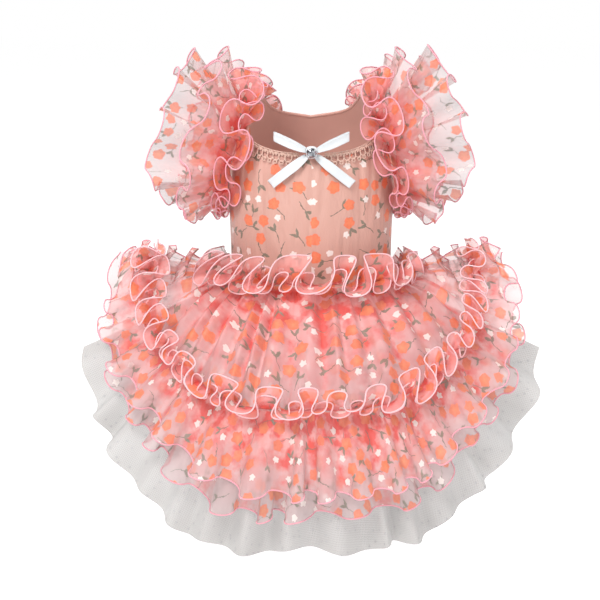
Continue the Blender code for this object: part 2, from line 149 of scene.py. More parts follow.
# Double-edged ruffles: how many rows of faces one leaf has, and how uneven its folds are
LEAF_ROWS = 9
RUFFLE_SPREAD = 0.5

# Bow, in metres: walls of its ribbon and knot, where its tails and loops start, how far they go,
# and how far its parts stand off the bodice
RIBBON_WALL = 0.0005
KNOT_WALL = 0.0004
BOW_START = 0.0030
TAIL_REACH = 0.025
TAIL_DROP = 0.021
LOOP_REACH = 0.0215
LOOP_RISE = 0.010
LOOP_PUFF = 0.0026
OVER_LACE = 2 * SEAM_GAP + 0.0010
TAIL_LEVEL = OVER_LACE + 0.0005
LOOP_LEVEL = OVER_LACE + 0.0010 + SEAM_GAP + 0.0005
KNOT_DEPTH = LOOP_LEVEL + 0.0034

# Stone: radius in metres, and rings of facets as share of the radius, rise in metres, turn in sides
STONE_RADIUS = 0.0031
STONE_SIDES = 12
STONE_RINGS = (
    (0.78, 0.0, 0.0),
    (1.00, 0.0008, 0.5),
    (1.00, 0.0010, 0.5),
    (0.80, 0.0019, 0.0),
    (0.56, 0.0024, 0.5),
)

# How each band of facets is cut between its two rings
STONE_BANDS = ("leaning on", "square", "leaning back", "leaning on")

# A claw of the setting: share of the stone's radius, and rise in metres
CLAW = ((1.02, 0.0), (1.08, 0.0008), (1.02, 0.0014), (0.86, 0.0021))

# Camera and lights: the photograph's scale in metres per pixel, and its middle and the waist's
# place in pixels
PIXEL = 0.00067
PHOTO_WIDTH = 600
PHOTO_CENTRE = (300.0, 300.0)
WAIST_PLACE = (311.0, 278.0)
CAMERA_RISE = math.radians(10.5)
CAMERA_DISTANCE = 1.35
SENSOR_WIDTH = 36.0
AMBIENT = 0.36
LAMPS = (
    ("key", (-0.7, -1.3, 1.3), 0.7, 30.0),
    ("fill", (1.2, -1.3, 0.6), 1.4, 8.0),
    ("top", (0.1, -0.1, 1.6), 1.2, 12.0),
    ("rim", (0.0, 1.2, 1.0), 1.4, 5.0),
)

UP = np.array([0.0, 0.0, 1.0])


# Curves through tables


def smooth(table, columns, name, at):
    """Read a table's column at an array of places, on a smooth curve through its rows."""
    xs = np.array([row[0] for row in table], float)
    ys = np.array([row[columns.index(name)] for row in table], float)
    low = np.maximum(np.arange(len(xs)) - 1, 0)
    high = np.minimum(np.arange(len(xs)) + 1, len(xs) - 1)
    slopes = (ys[high] - ys[low]) / (xs[high] - xs[low])
    at = np.clip(np.asarray(at, float), xs[0], xs[-1])
    k = np.clip(np.searchsorted(xs, at, side="left") - 1, 0, len(xs) - 2)
    span = xs[k + 1] - xs[k]
    t = (at - xs[k]) / span
    rise = (2 * t**3 - 3 * t**2 + 1) * ys[k] + (3 * t**2 - 2 * t**3) * ys[k + 1]
    bend = (t**3 - 2 * t**2 + t) * slopes[k] + (t**3 - t**2) * slopes[k + 1]
    return rise + bend * span


def unit(vectors):
    """Scale an array of vectors to length one."""
    return vectors / np.maximum(np.linalg.norm(vectors, axis=-1, keepdims=True), 1e-12)


def stack(x, y, z):
    """Join three arrays of coordinates into one array of points."""
    return np.stack(np.broadcast_arrays(x, y, z), axis=-1).astype(float)


def swell(start, end, share, power=1.3):
    """Give a fold's share of its full depth, from none at start to all at end."""
    return np.clip((share - start) / (end - start), 0, None) ** power


# Bodice surface


def half_sizes(height):
    """Give the torso's half width and half depth at a height."""
    share = np.asarray(height) / SHOULDER_HEIGHT
    width = WAIST_HALF_WIDTH * smooth(BODICE_SECTIONS, BODICE_COLUMNS, "width", share)
    depth = WAIST_HALF_DEPTH * smooth(BODICE_SECTIONS, BODICE_COLUMNS, "depth", share)
    return width, depth


def bodice_points(turn, height, stand_off=0.0):
    """Give points of the bodice, turned from the front, standing off from its wall's middle."""
    width, depth = half_sizes(height)
    x = (width + stand_off) * np.sin(turn)
    y = -(depth + stand_off) * np.cos(turn)
    return stack(x, y, height)


def neck_height(turn):
    """Give the neckline's height at angles from the front."""
    degrees = np.abs(np.degrees(np.arctan2(np.sin(turn), np.cos(turn))))
    return SHOULDER_HEIGHT * smooth(NECKLINE, NECK_COLUMNS, "height", degrees)


def front_points(across, height, stand_off):
    """Give points in front of the bodice, standing off from its outer face."""
    level = np.minimum(height, BOW_HEIGHT)
    turn = np.arcsin(across / half_sizes(level)[0])
    points = bodice_points(turn, level, BODICE_WALL / 2 + stand_off)
    points[..., 2] = height
    return points


# Skirt surface


def ray(turn, name):
    """Read a column of the skirt's rays at angles from the front."""
    return smooth(SKIRT_RAYS, SKIRT_COLUMNS, name, np.abs(turn) / SKIRT_TURN)


class SkirtSurface:
    """The skirt's innermost surface, worked out once on a fine grid and read between its points."""

    LAST_SHARE = 1.2

    def __init__(self, length, turns=361, shares=241):
        """Walk down from the waist along every turn, by the rays' fan, lean and length."""
        self.turns = np.linspace(-SKIRT_TURN - 0.05, SKIRT_TURN + 0.05, turns)
        self.shares = np.linspace(0, self.LAST_SHARE, shares)
        turn = np.clip(self.turns, -SKIRT_TURN, SKIRT_TURN)[:, None]
        step = self.shares[1]
        middle = (self.shares[None, :-1] + self.shares[None, 1:]) / 2
        fan = np.sign(turn) * np.radians(ray(turn, "fan"))
        waist, hem = ray(turn, "waist_lean"), ray(turn, "hem_lean")
        lean = np.radians(hem + (waist - hem) * np.clip(1 - middle, 0, None) ** LEAN_CURVE)
        way = stack(np.sin(fan) * np.cos(lean), -np.sin(lean), -np.cos(fan) * np.cos(lean))
        pace = (length * ray(turn, "length") * step)[..., None]
        start = bodice_points(self.turns, 0.0, BODICE_WALL / 2 + SEAM_GAP + CLOTH_WALL / 2)
        walk = np.cumsum(way * pace, axis=1)
        self.points = np.concatenate([start[:, None], start[:, None] + walk], axis=1)
        self.ways = unit(np.gradient(self.points, axis=1))
        along = np.gradient(self.points, axis=0)
        self.normals = unit(np.cross(along, -self.ways))

    def read(self, grid, turn, share):
        """Read one of the grids at arrays of turns and shares."""
        turn, share = np.broadcast_arrays(turn, share)
        a = np.interp(turn, self.turns, np.arange(len(self.turns)))
        b = np.interp(share, self.shares, np.arange(len(self.shares)))
        i = np.minimum(a.astype(int), len(self.turns) - 2)
        j = np.minimum(b.astype(int), len(self.shares) - 2)
        s, t = (a - i)[..., None], (b - j)[..., None]
        low = grid[i, j] * (1 - s) + grid[i + 1, j] * s
        high = grid[i, j + 1] * (1 - s) + grid[i + 1, j + 1] * s
        return low * (1 - t) + high * t

    def place(self, turn, share, level):
        """Give points standing off from the innermost surface by a level."""
        turn, share, level = np.broadcast_arrays(turn, share, level)
        level = level[..., None]
        outward = stack(np.sin(turn), -np.cos(turn), np.zeros_like(turn))
        lift = unit(self.read(self.normals, turn, share)) * level
        lift = lift + outward * OUTWARD_SHARE * level
        return self.read(self.points, turn, share) + lift


def tulle_depth(sizes, share):
    """Give the half depth of the tulle's waves at shares of the skirt."""
    return sizes.tulle_fold * swell(0, 1, share)


def lower_depth(sizes, share):
    """Give the half depth of the lower flounce's waves at shares of the skirt."""
    return sizes.flounce_fold * swell(0, sizes.lower_hem, share)


def lower_level(sizes, share):
    """Give the level of the lower flounce's middle, over the tulle's waves."""
    return LAYER_PITCH + tulle_depth(sizes, share) + lower_depth(sizes, share)


def top_level(sizes, share):
    """Give the level of the seam that the overskirt and the upper flounce share."""
    return lower_level(sizes, share) + LAYER_PITCH + lower_depth(sizes, share)


# Folds


def fold_phase(u, folds, seed, spread=0.25, closed=False):
    """Give the fold phase and the fold's own size at shares u of a strip, varied by a seed."""
    draw = np.random.default_rng(seed)
    widths = 1 + spread * draw.uniform(-1, 1, folds)
    ends = np.concatenate([[0], np.cumsum(widths)]) / widths.sum()
    sizes = 1 + spread * draw.uniform(-1, 1, folds + 1)
    if closed:
        sizes[-1] = sizes[0]
    phase = np.interp(u, ends, np.arange(folds + 1)) * 2 * math.pi
    return phase, np.interp(u, ends, sizes)


def meander(phase, swing):
    """Give the lag along the seam and the swing to the side of a ribbon folded back and forth.

    Both are shares of one fold's width. swing is the edge's steepest angle in radians, and past a
    right angle the folds hang over each other.
    """
    s = np.linspace(0, 2 * math.pi, 721)
    step = s[1]
    angle = swing * np.cos((s[:-1] + s[1:]) / 2)
    forward = np.concatenate([[0], np.cumsum(np.cos(angle))]) * step
    sideways = np.concatenate([[0], np.cumsum(np.sin(angle))]) * step
    around = np.mod(phase, 2 * math.pi)
    lag = np.interp(around, s, forward / forward[-1] - s / (2 * math.pi))
    return lag, np.interp(around, s, sideways / forward[-1])


def ruffle_folds(u, folds, seed, swing, spread=RUFFLE_SPREAD, closed=False):
    """Give a ruffle's fold phase and size, and its lag and sway, the sway from -1 to 1."""
    phase, size = fold_phase(u, folds, seed, spread, closed)
    lag, sway = meander(phase, swing)
    return phase, size, lag, sway / np.max(np.abs(sway))


def soften(sway):
    """Hold back the largest of a ruffle's swings and keep the rest nearly as they are."""
    return np.tanh(0.7 * sway) / math.tanh(0.7)


def ripple(u, seed, count, closed=False):
    """Give a slow, seeded unevenness from -1 to 1 along shares u."""
    draw = np.random.default_rng(seed)
    total = np.zeros_like(np.asarray(u, float))
    for k in range(count):
        rate = (k + 1) if closed else (k + 1) * draw.uniform(0.8, 1.2)
        total += np.sin(2 * math.pi * (rate * u + draw.uniform())) / (k + 1)
    return total / sum(1 / (k + 1) for k in range(count))


# Meshes


def new_piece(name, mesh, material, slot, *nodes):
    """Show a mesh as a piece that rides on the dress and stands for its solids."""
    piece = bpy.data.objects.new(name, mesh)
    bpy.context.scene.collection.objects.link(piece)
    mesh.materials.append(material)
    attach(piece, "root")
    if nodes:
        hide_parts(*nodes)
    return piece


def sheet_mesh(name, points, flat, closed=False, nearness=None, valley=0.0):
    """Make a smooth mesh from a grid of points, with its place on the flat cloth as UVs.

    nearness says how near each column lies to the strip's gathered seam, and valley how deep each
    point lies in a fold, both from 0 to 1.
    """
    rows, columns = points.shape[:2]
    index = np.arange(rows * columns).reshape(rows, columns)
    quads = np.stack([index[:-1, :-1], index[1:, :-1], index[1:, 1:], index[:-1, 1:]], axis=-1)
    corners = quads.reshape(-1)
    mesh = bpy.data.meshes.new(name)
    mesh.from_pydata(points.reshape(-1, 3).tolist(), [], quads.reshape(-1, 4).tolist())
    layer = mesh.uv_layers.new(name="flat")
    layer.uv.foreach_set("vector", flat.reshape(-1, 2)[corners].reshape(-1))
    if nearness is not None:
        marks = [np.broadcast_to(mark, (rows, columns)) for mark in (nearness, valley)]
        marks = np.stack(marks, axis=-1).reshape(-1, 2)[corners]
        # These marks steer the organza's painted red shade and its cover
        layer = mesh.uv_layers.new(name="seam")
        layer.uv.foreach_set("vector", marks.reshape(-1))
        mesh.uv_layers.active = mesh.uv_layers["flat"]
    if closed:
        work = bmesh.new()
        work.from_mesh(mesh)
        bmesh.ops.remove_doubles(work, verts=work.verts, dist=1e-6)
        work.to_mesh(mesh)
        work.free()
    mesh.shade_smooth()
    return mesh


def lengths_along(points):
    """Give the running length along the first axis of a line of points."""
    steps = np.linalg.norm(np.diff(points, axis=0), axis=-1)
    return np.concatenate([[0], np.cumsum(steps)])


def tube_mesh(name, lines, radius, sides=6, closed=False):
    """Make round tubes along lines of points, with length and girth as UVs."""
    all_points, all_faces, all_flat = [], [], []
    first = 0
    for line in lines:
        line = np.asarray(line, float)
        count = len(line)
        if closed:
            tangent = unit(np.roll(line, -1, axis=0) - np.roll(line, 1, axis=0))
        else:
            tangent = unit(np.gradient(line, axis=0))
        across = np.zeros_like(line)
        guide = np.array([0.0, 0.0, 1.0]) if abs(tangent[0][2]) < 0.9 else np.array([1.0, 0, 0])
        side = unit(np.cross(tangent[0], guide))
        for k in range(count):
            side = unit(side - tangent[k] * np.dot(side, tangent[k]))
            across[k] = side
        over = np.cross(tangent, across)
        angle = np.linspace(0, 2 * math.pi, sides, endpoint=False)
        width = np.broadcast_to(radius, (count,))[:, None, None]
        ring = across[:, None] * np.cos(angle)[None, :, None]
        ring = ring + over[:, None] * np.sin(angle)[None, :, None]
        all_points.append((line[:, None] + ring * width).reshape(-1, 3))
        run = lengths_along(line)
        spans = count if closed else count - 1
        for k in range(spans):
            n = (k + 1) % count
            for a in range(sides):
                b = (a + 1) % sides
                face = [k * sides + a, n * sides + a, n * sides + b, k * sides + b]
                all_faces.append([first + f for f in face])
                end = run[k] + (run[1] - run[0]) if n == 0 else run[n]
                girth = 2 * math.pi * float(np.mean(width)) / sides
                corners = ((run[k], a), (end, a), (end, a + 1), (run[k], a + 1))
                all_flat.extend([(x, y * girth) for x, y in corners])
        if not closed:
            all_faces.append([first + a for a in range(sides)])
            all_faces.append([first + (count - 1) * sides + a for a in reversed(range(sides))])
            all_flat.extend([(0.0, 0.0)] * (2 * sides))
        first += count * sides
    mesh = bpy.data.meshes.new(name)
    mesh.from_pydata(np.concatenate(all_points).tolist(), [], all_faces)
    layer = mesh.uv_layers.new(name="flat")
    layer.uv.foreach_set("vector", np.array(all_flat).reshape(-1))
    mesh.shade_smooth()
    return mesh


# Shader helpers


def feed(tree, socket, value):
    """Link a socket to a value's output, or set it."""
    if isinstance(value, bpy.types.NodeSocket):
        tree.links.new(value, socket)
    else:
        socket.default_value = value


def calc(tree, operation, *values):
    """Add a Math node and give its output."""
    node = tree.nodes.new("ShaderNodeMath")
    node.operation = operation
    for socket, value in zip(node.inputs, values):
        feed(tree, socket, value)
    return node.outputs[0]


def opaque(colour, share=1.0):
    """Give a colour, darkened to a share of itself, with its alpha."""
    return (*[channel * share for channel in colour], 1)


def blend(tree, share, first, second):
    """Mix two colours by a share and give the output."""
    node = tree.nodes.new("ShaderNodeMix")
    node.data_type = "RGBA"
    feed(tree, node.inputs["Factor"], share)
    feed(tree, node.inputs["A"], first)
    feed(tree, node.inputs["B"], second)
    return node.outputs["Result"]


def below(tree, value, limit, softness):
    """Give a mask that is 1 where a value lies below a limit, with a soft edge."""
    node = tree.nodes.new("ShaderNodeMapRange")
    node.interpolation_type = "SMOOTHSTEP"
    feed(tree, node.inputs["Value"], calc(tree, "SUBTRACT", value, limit))
    node.inputs["From Min"].default_value = -softness
    node.inputs["From Max"].default_value = softness
    node.inputs["To Min"].default_value = 1.0
    node.inputs["To Max"].default_value = 0.0
    return node.outputs["Result"]


def axes(tree, vector):
    """Split a vector and give its outputs."""
    apart = tree.nodes.new("ShaderNodeSeparateXYZ")
    tree.links.new(vector, apart.inputs[0])
    return apart.outputs


def move(tree, operation, *vectors):
    """Add a Vector Math node and give its output."""
    node = tree.nodes.new("ShaderNodeVectorMath")
    node.operation = operation
    for socket, vector in zip(node.inputs, vectors):
        feed(tree, socket, vector)
    return node.outputs[0]


def recolour(tree, colour, **values):
    """Change a colour's hue, saturation or value and give the output."""
    node = tree.nodes.new("ShaderNodeHueSaturation")
    for label, value in values.items():
        node.inputs[label].default_value = value
    feed(tree, node.inputs["Color"], colour)
    return node.outputs[0]


def new_group(name, inputs, outputs):
    """Make a shader node group and give it with its input and output nodes."""
    tree = bpy.data.node_groups.new(name, "ShaderNodeTree")
    for label, kind, value in inputs:
        socket = tree.interface.new_socket(label, in_out="INPUT", socket_type=kind)
        socket.default_value = value
    for label, kind in outputs:
        tree.interface.new_socket(label, in_out="OUTPUT", socket_type=kind)
    start = tree.nodes.new("NodeGroupInput")
    end = tree.nodes.new("NodeGroupOutput")
    return tree, start.outputs, end.inputs


def use_group(tree, group, **values):
    """Place a group in a tree, with its inputs fed by name, and give its outputs."""
    node = tree.nodes.new("ShaderNodeGroup")
    node.node_tree = group
    for label, value in values.items():
        feed(tree, node.inputs[label], value)
    return node.outputs


# Shared effects


def motif_place_group():
    """Scatter motifs on the cloth: each place's offset from its motif, turned at random."""
    inputs = (
        ("Flat", "NodeSocketVector", (0, 0, 0)),
        ("Spacing", "NodeSocketFloat", 0.015),
        ("Seed", "NodeSocketFloat", 0.0),
        ("Scatter", "NodeSocketFloat", 0.6),
    )
    labels = ("X", "Y", "Chance", "Shade")
    outputs = [(label, "NodeSocketFloat") for label in labels]
    tree, start, end = new_group("Motif Place", inputs, outputs)
    rate = calc(tree, "DIVIDE", 1.0, start["Spacing"])
    rates = tree.nodes.new("ShaderNodeCombineXYZ")
    shift = tree.nodes.new("ShaderNodeCombineXYZ")
    for k in (0, 1):
        tree.links.new(rate, rates.inputs[k])
        tree.links.new(start["Seed"], shift.inputs[k])
    scaled = move(tree, "MULTIPLY_ADD", start["Flat"], rates.outputs[0], shift.outputs[0])
    cells = tree.nodes.new("ShaderNodeTexVoronoi")
    cells.voronoi_dimensions = "2D"
    cells.inputs["Scale"].default_value = 1.0
    tree.links.new(scaled, cells.inputs["Vector"])
    tree.links.new(start["Scatter"], cells.inputs["Randomness"])
    offset = axes(tree, move(tree, "SUBTRACT", scaled, cells.outputs["Position"]))
    draws = tree.nodes.new("ShaderNodeSeparateColor")
    tree.links.new(cells.outputs["Color"], draws.inputs[0])
    angle = calc(tree, "MULTIPLY", draws.outputs[0], 2 * math.pi)
    cosine, sine = calc(tree, "COSINE", angle), calc(tree, "SINE", angle)
    x = calc(tree, "MULTIPLY", offset[0], start["Spacing"])
    y = calc(tree, "MULTIPLY", offset[1], start["Spacing"])
    turned_x = calc(tree, "MULTIPLY_ADD", x, cosine, calc(tree, "MULTIPLY", y, sine))
    back = calc(tree, "MULTIPLY", x, sine)
    turned_y = calc(tree, "SUBTRACT", calc(tree, "MULTIPLY", y, cosine), back)
    values = (turned_x, turned_y, draws.outputs[1], draws.outputs[2])
    for label, value in zip(labels, values):
        tree.links.new(value, end[label])
    return tree


def blossom_group():
    """Draw a round blossom: its mask, nearness to its middle, nearness to a petal's centre line."""
    edge_softness = 0.00022
    inputs = [
        (label, "NodeSocketFloat", value)
        for label, value in (("X", 0), ("Y", 0), ("Radius", 0.004), ("Petals", 5), ("Notch", 0.15))
    ]
    outputs = [(label, "NodeSocketFloat") for label in ("Mask", "Middle", "Petal")]
    tree, start, end = new_group("Blossom", inputs, outputs)
    square = calc(tree, "POWER", start["Y"], 2.0)
    away = calc(tree, "SQRT", calc(tree, "MULTIPLY_ADD", start["X"], start["X"], square))
    angle = calc(tree, "ARCTAN2", start["Y"], start["X"])
    lobe = calc(tree, "COSINE", calc(tree, "MULTIPLY", angle, start["Petals"]))
    least = calc(tree, "SUBTRACT", 1.0, start["Notch"])
    edge = calc(tree, "MULTIPLY_ADD", lobe, start["Notch"], least)
    reach = calc(tree, "MULTIPLY", edge, start["Radius"])
    tree.links.new(below(tree, away, reach, edge_softness), end["Mask"])
    nearness = calc(tree, "SUBTRACT", 1.0, calc(tree, "DIVIDE", away, start["Radius"]))
    tree.links.new(calc(tree, "MAXIMUM", nearness, 0.0), end["Middle"])
    tree.links.new(calc(tree, "MULTIPLY_ADD", lobe, 0.5, 0.5), end["Petal"])
    return tree


def leaf_group():
    """Draw a pair of leaves on a thin, bent stem: one mask for each."""
    inputs = [(label, "NodeSocketFloat", 0) for label in ("X", "Y")]
    outputs = [(label, "NodeSocketFloat") for label in ("Leaf", "Stem")]
    tree, start, end = new_group("Leaf Pair", inputs, outputs)
    length, half_width, fan, pointedness, leaf_softness = 0.0062, 0.00095, 0.50, 1.7, 0.00018
    stem_reach, stem_bend, stem_back = 0.0062, 38.0, 0.003
    stem_half_width, stem_softness, stem_end = 0.00026, 0.00016, 0.0004
    masks = []
    for turn in (fan, -fan):
        share = calc(tree, "MULTIPLY", start["Y"], math.sin(turn))
        along = calc(tree, "MULTIPLY_ADD", start["X"], math.cos(turn), share)
        share = calc(tree, "MULTIPLY", start["X"], -math.sin(turn))
        across = calc(tree, "MULTIPLY_ADD", start["Y"], math.cos(turn), share)
        middle = calc(tree, "DIVIDE", calc(tree, "SUBTRACT", along, length / 2), length / 2)
        narrowing = calc(tree, "POWER", calc(tree, "ABSOLUTE", middle), pointedness)
        half = calc(tree, "MULTIPLY", calc(tree, "SUBTRACT", 1.0, narrowing), half_width)
        masks.append(below(tree, calc(tree, "ABSOLUTE", across), half, leaf_softness))
    tree.links.new(calc(tree, "MAXIMUM", *masks), end["Leaf"])
    bend = calc(tree, "MULTIPLY", calc(tree, "POWER", start["X"], 2.0), stem_bend)
    aside = calc(tree, "ABSOLUTE", calc(tree, "SUBTRACT", start["Y"], bend))
    line = below(tree, aside, stem_half_width, stem_softness)
    centre = calc(tree, "ABSOLUTE", calc(tree, "ADD", start["X"], stem_back))
    near = below(tree, centre, stem_reach, stem_end)
    tree.links.new(calc(tree, "MULTIPLY", line, near), end["Stem"])
    return tree


def print_group(motifs, blossom, leaves):
    """Print small blossoms, white buds and leaves over a ground colour."""
    inputs = (
        ("Flat", "NodeSocketVector", (0, 0, 0)),
        ("Ground", "NodeSocketColor", (1, 1, 1, 1)),
        ("Blossom", "NodeSocketColor", (1, 0, 0, 1)),
        ("Bud", "NodeSocketColor", (1, 1, 1, 1)),
        ("Leaf", "NodeSocketColor", (0, 1, 0, 1)),
    )
    outputs = (("Color", "NodeSocketColor"), ("Printed", "NodeSocketFloat"))
    tree, start, end = new_group("Floral Print", inputs, outputs)
    wobble_rate, wobble_reach, petals = 420.0, 0.0022, 5.0
    sprig_share, bloom_share, motif_share = 0.78, 0.42, 0.74
    bud_radius, least_bloom, bloom_range = 0.0024, 0.0038, 0.0008

    wobble = tree.nodes.new("ShaderNodeTexNoise")
    wobble.inputs["Scale"].default_value = wobble_rate
    wobble.inputs["Detail"].default_value = 1.0
    tree.links.new(start["Flat"], wobble.inputs["Vector"])
    reach = (wobble_reach, wobble_reach, 0.0)
    warped = move(tree, "MULTIPLY_ADD", wobble.outputs["Color"], reach, start["Flat"])

    def scatter(spacing, seed, spread):
        """Scatter motifs this far apart over the slightly warped cloth."""
        return use_group(tree, motifs, Flat=warped, Spacing=spacing, Seed=seed, Scatter=spread)

    sprig = scatter(0.0150, 3.7, 0.6)
    marks = use_group(tree, leaves, X=sprig["X"], Y=sprig["Y"])
    sprigs = below(tree, sprig["Chance"], sprig_share, 0.01)
    leaf = calc(tree, "MULTIPLY", marks["Leaf"], sprigs)
    stem = calc(tree, "MULTIPLY", marks["Stem"], sprigs)
    place = scatter(0.0114, 7.1, 0.46)
    spot = {"X": place["X"], "Y": place["Y"]}
    bud = use_group(tree, blossom, **spot, Radius=bud_radius, Petals=petals, Notch=0.12)
    is_bloom = below(tree, place["Chance"], bloom_share, 0.005)
    is_motif = below(tree, place["Chance"], motif_share, 0.005)
    buds = calc(tree, "MULTIPLY", bud["Mask"], calc(tree, "SUBTRACT", is_motif, is_bloom))
    size = calc(tree, "MULTIPLY_ADD", place["Shade"], bloom_range, least_bloom)
    bloom = use_group(tree, blossom, **spot, Radius=size, Petals=petals, Notch=0.09)
    blooms = calc(tree, "MULTIPLY", bloom["Mask"], is_bloom)
    heart = calc(tree, "MULTIPLY", calc(tree, "POWER", bloom["Middle"], 1.4), place["Shade"])
    crease = calc(tree, "MULTIPLY", calc(tree, "SUBTRACT", 1.0, bloom["Petal"]), 0.22)
    warm = recolour(tree, start["Blossom"], Hue=0.515, Value=1.05)
    shaded = recolour(tree, start["Blossom"], Saturation=1.1, Value=0.82)
    petal = blend(tree, crease, start["Blossom"], shaded)
    petal = blend(tree, heart, petal, warm)
    colour = blend(tree, stem, start["Ground"], recolour(tree, start["Leaf"], Value=0.72))
    colour = blend(tree, leaf, colour, start["Leaf"])
    colour = blend(tree, buds, colour, start["Bud"])
    colour = blend(tree, blooms, colour, petal)
    tree.links.new(colour, end["Color"])
    printed = calc(tree, "MAXIMUM", calc(tree, "MAXIMUM", leaf, stem), buds)
    tree.links.new(calc(tree, "MAXIMUM", printed, blooms), end["Printed"])
    return tree


def weave_group():
    """Make a plain weave's height from the place on the flat cloth."""
    inputs = (
        ("Flat", "NodeSocketVector", (0, 0, 0)),
        ("Thread", "NodeSocketFloat", 0.0004),
    )
    tree, start, end = new_group("Plain Weave", inputs, (("Height", "NodeSocketFloat"),))
    place = axes(tree, start["Flat"])
    waves = []
    for k in (0, 1):
        turns = calc(tree, "DIVIDE", place[k], start["Thread"])
        waves.append(calc(tree, "SINE", calc(tree, "MULTIPLY", turns, math.pi)))
    product = calc(tree, "MULTIPLY", *waves)
    tree.links.new(calc(tree, "MULTIPLY_ADD", product, 0.5, 0.5), end["Height"])
    return tree


# Materials


def plain_material(name, roughness, metallic=0.0):
    """Make a material and give it with its tree and its Principled shader."""
    material = bpy.data.materials.new(name)
    material.use_nodes = True
    tree = material.node_tree
    shader = tree.nodes["Principled BSDF"]
    shader.inputs["Roughness"].default_value = roughness
    shader.inputs["Metallic"].default_value = metallic
    return material, tree, shader


def read_layer(tree, layer):
    """Give the places that one of the mesh's UV layers holds."""
    place = tree.nodes.new("ShaderNodeUVMap")
    place.uv_map = layer
    return place.outputs[0]


def cloth_material(name, roughness, sheen):
    """Make a cloth's material and give its tree, its shader and the flat cloth's place."""
    material, tree, shader = plain_material(name, roughness)
    shader.inputs["Sheen Weight"].default_value = sheen
    return material, tree, shader, read_layer(tree, "flat")


def add_bump(tree, shader, height, distance, strength):
    """Feed a height to the shader's normal."""
    bump = tree.nodes.new("ShaderNodeBump")
    bump.inputs["Distance"].default_value = distance
    bump.inputs["Strength"].default_value = strength
    feed(tree, bump.inputs["Height"], height)
    tree.links.new(bump.outputs[0], shader.inputs["Normal"])


def paint(tree, shader, pattern, colour, darkest):
    """Colour a shader by a pattern, from a share of the colour up to all of it."""
    tone = blend(tree, pattern, opaque(colour, darkest), opaque(colour))
    tree.links.new(tone, shader.inputs["Base Color"])


def crumple(tree, flat, scale, stretch=(1.0, 1.0, 1.0), detail=3.0):
    """Give a noise that runs over the flat cloth."""
    mapping = tree.nodes.new("ShaderNodeMapping")
    mapping.inputs["Scale"].default_value = stretch
    tree.links.new(flat, mapping.inputs[0])
    noise = tree.nodes.new("ShaderNodeTexNoise")
    noise.inputs["Scale"].default_value = scale
    noise.inputs["Detail"].default_value = detail
    tree.links.new(mapping.outputs[0], noise.inputs["Vector"])
    return noise.outputs[0]


def print_design(tree, shader, groups, colours, flat, ground):
    """Print a cloth's ground and give where its motifs lie."""
    design = use_group(
        tree,
        groups["print"],
        Flat=flat,
        Ground=ground,
        Blossom=opaque(colours.blossom),
        Bud=opaque(colours.bud),
        Leaf=opaque(colours.leaf),
    )
    tree.links.new(design["Color"], shader.inputs["Base Color"])
    return design["Printed"]


def woven(tree, groups, flat, thread, crumpling, share):
    """Give the height of a plain weave with a share of a crumpling."""
    weave = use_group(tree, groups["weave"], Flat=flat, Thread=thread)
    return calc(tree, "MULTIPLY_ADD", crumpling, share, weave["Height"])


def ground_with_gather_shade(tree, ground, edge, depth, seam, valley, shade_patches, deep):
    """Colour a sheer ground: paler at its edges and, by the amount deep, red with painted shade in
    its gathers and fold hollows.
    """
    paleness, reach, valley_shade_share, most = 0.7, 1.8, 0.6, 0.9
    # The edge colours are the single layer's paler tone, greyed with painted shade
    base = blend(tree, calc(tree, "POWER", seam, paleness), opaque(edge), opaque(ground))
    # Painted shade: deep red near the seam and in the fold hollows, in patches, up to a share of
    # 0.9
    inner = calc(tree, "MULTIPLY", calc(tree, "POWER", seam, reach), deep)
    inner = calc(tree, "MULTIPLY_ADD", valley, valley_shade_share, inner)
    share = calc(tree, "MINIMUM", calc(tree, "MULTIPLY", inner, shade_patches), most)
    return blend(tree, share, base, opaque(depth))


def organza_material(name, groups, colours, edge, cover, deep):
    """Make the sheer printed cloth, which covers more in its gathers and on its motifs."""
    material, tree, shader, flat = cloth_material(name, roughness=0.5, sheen=0.12)
    patch_low, patch_rise, seam_cover, valley_cover, motif_cover = 0.42, 7.0, 0.22, 0.20, 1.8
    place = axes(tree, read_layer(tree, "seam"))
    seam, valley = place[0], place[1]
    # Patches that break the painted gather shade into blotches
    shade_patches = calc(tree, "SUBTRACT", crumple(tree, flat, scale=85.0), patch_low)
    shade_patches = calc(tree, "MAXIMUM", calc(tree, "MULTIPLY", shade_patches, patch_rise), 0.0)
    # colours.depth is the red of the painted shade in the gathers and fold hollows
    base = ground_with_gather_shade(tree, colours.organza, edge, colours.depth, seam, valley, shade_patches, deep)
    printed = print_design(tree, shader, groups, colours, flat, base)
    plain = calc(tree, "MULTIPLY_ADD", seam, seam_cover, cover)
    plain = calc(tree, "MULTIPLY_ADD", valley, valley_cover, plain)
    room = calc(tree, "MAXIMUM", calc(tree, "SUBTRACT", motif_cover * cover, plain), 0.0)
    tree.links.new(calc(tree, "MULTIPLY_ADD", printed, room, plain), shader.inputs["Alpha"])
    rough = crumple(tree, flat, scale=160.0)
    height = woven(tree, groups, flat, CLOTH_THREAD, rough, share=3.0)
    add_bump(tree, shader, height, distance=0.00015, strength=0.6)
    return material


def satin_material(groups, colours):
    """Make the bodice's printed satin, with soft creases."""
    material, tree, shader, flat = cloth_material("Printed Satin", roughness=0.33, sheen=0.1)
    print_design(tree, shader, groups, colours, flat, opaque(colours.satin))
    folds = crumple(tree, flat, scale=60.0, stretch=(2.2, 0.8, 1.0), detail=4.0)
    height = woven(tree, groups, flat, CLOTH_THREAD, folds, share=10.0)
    add_bump(tree, shader, height, distance=0.00018, strength=1.0)
    return material


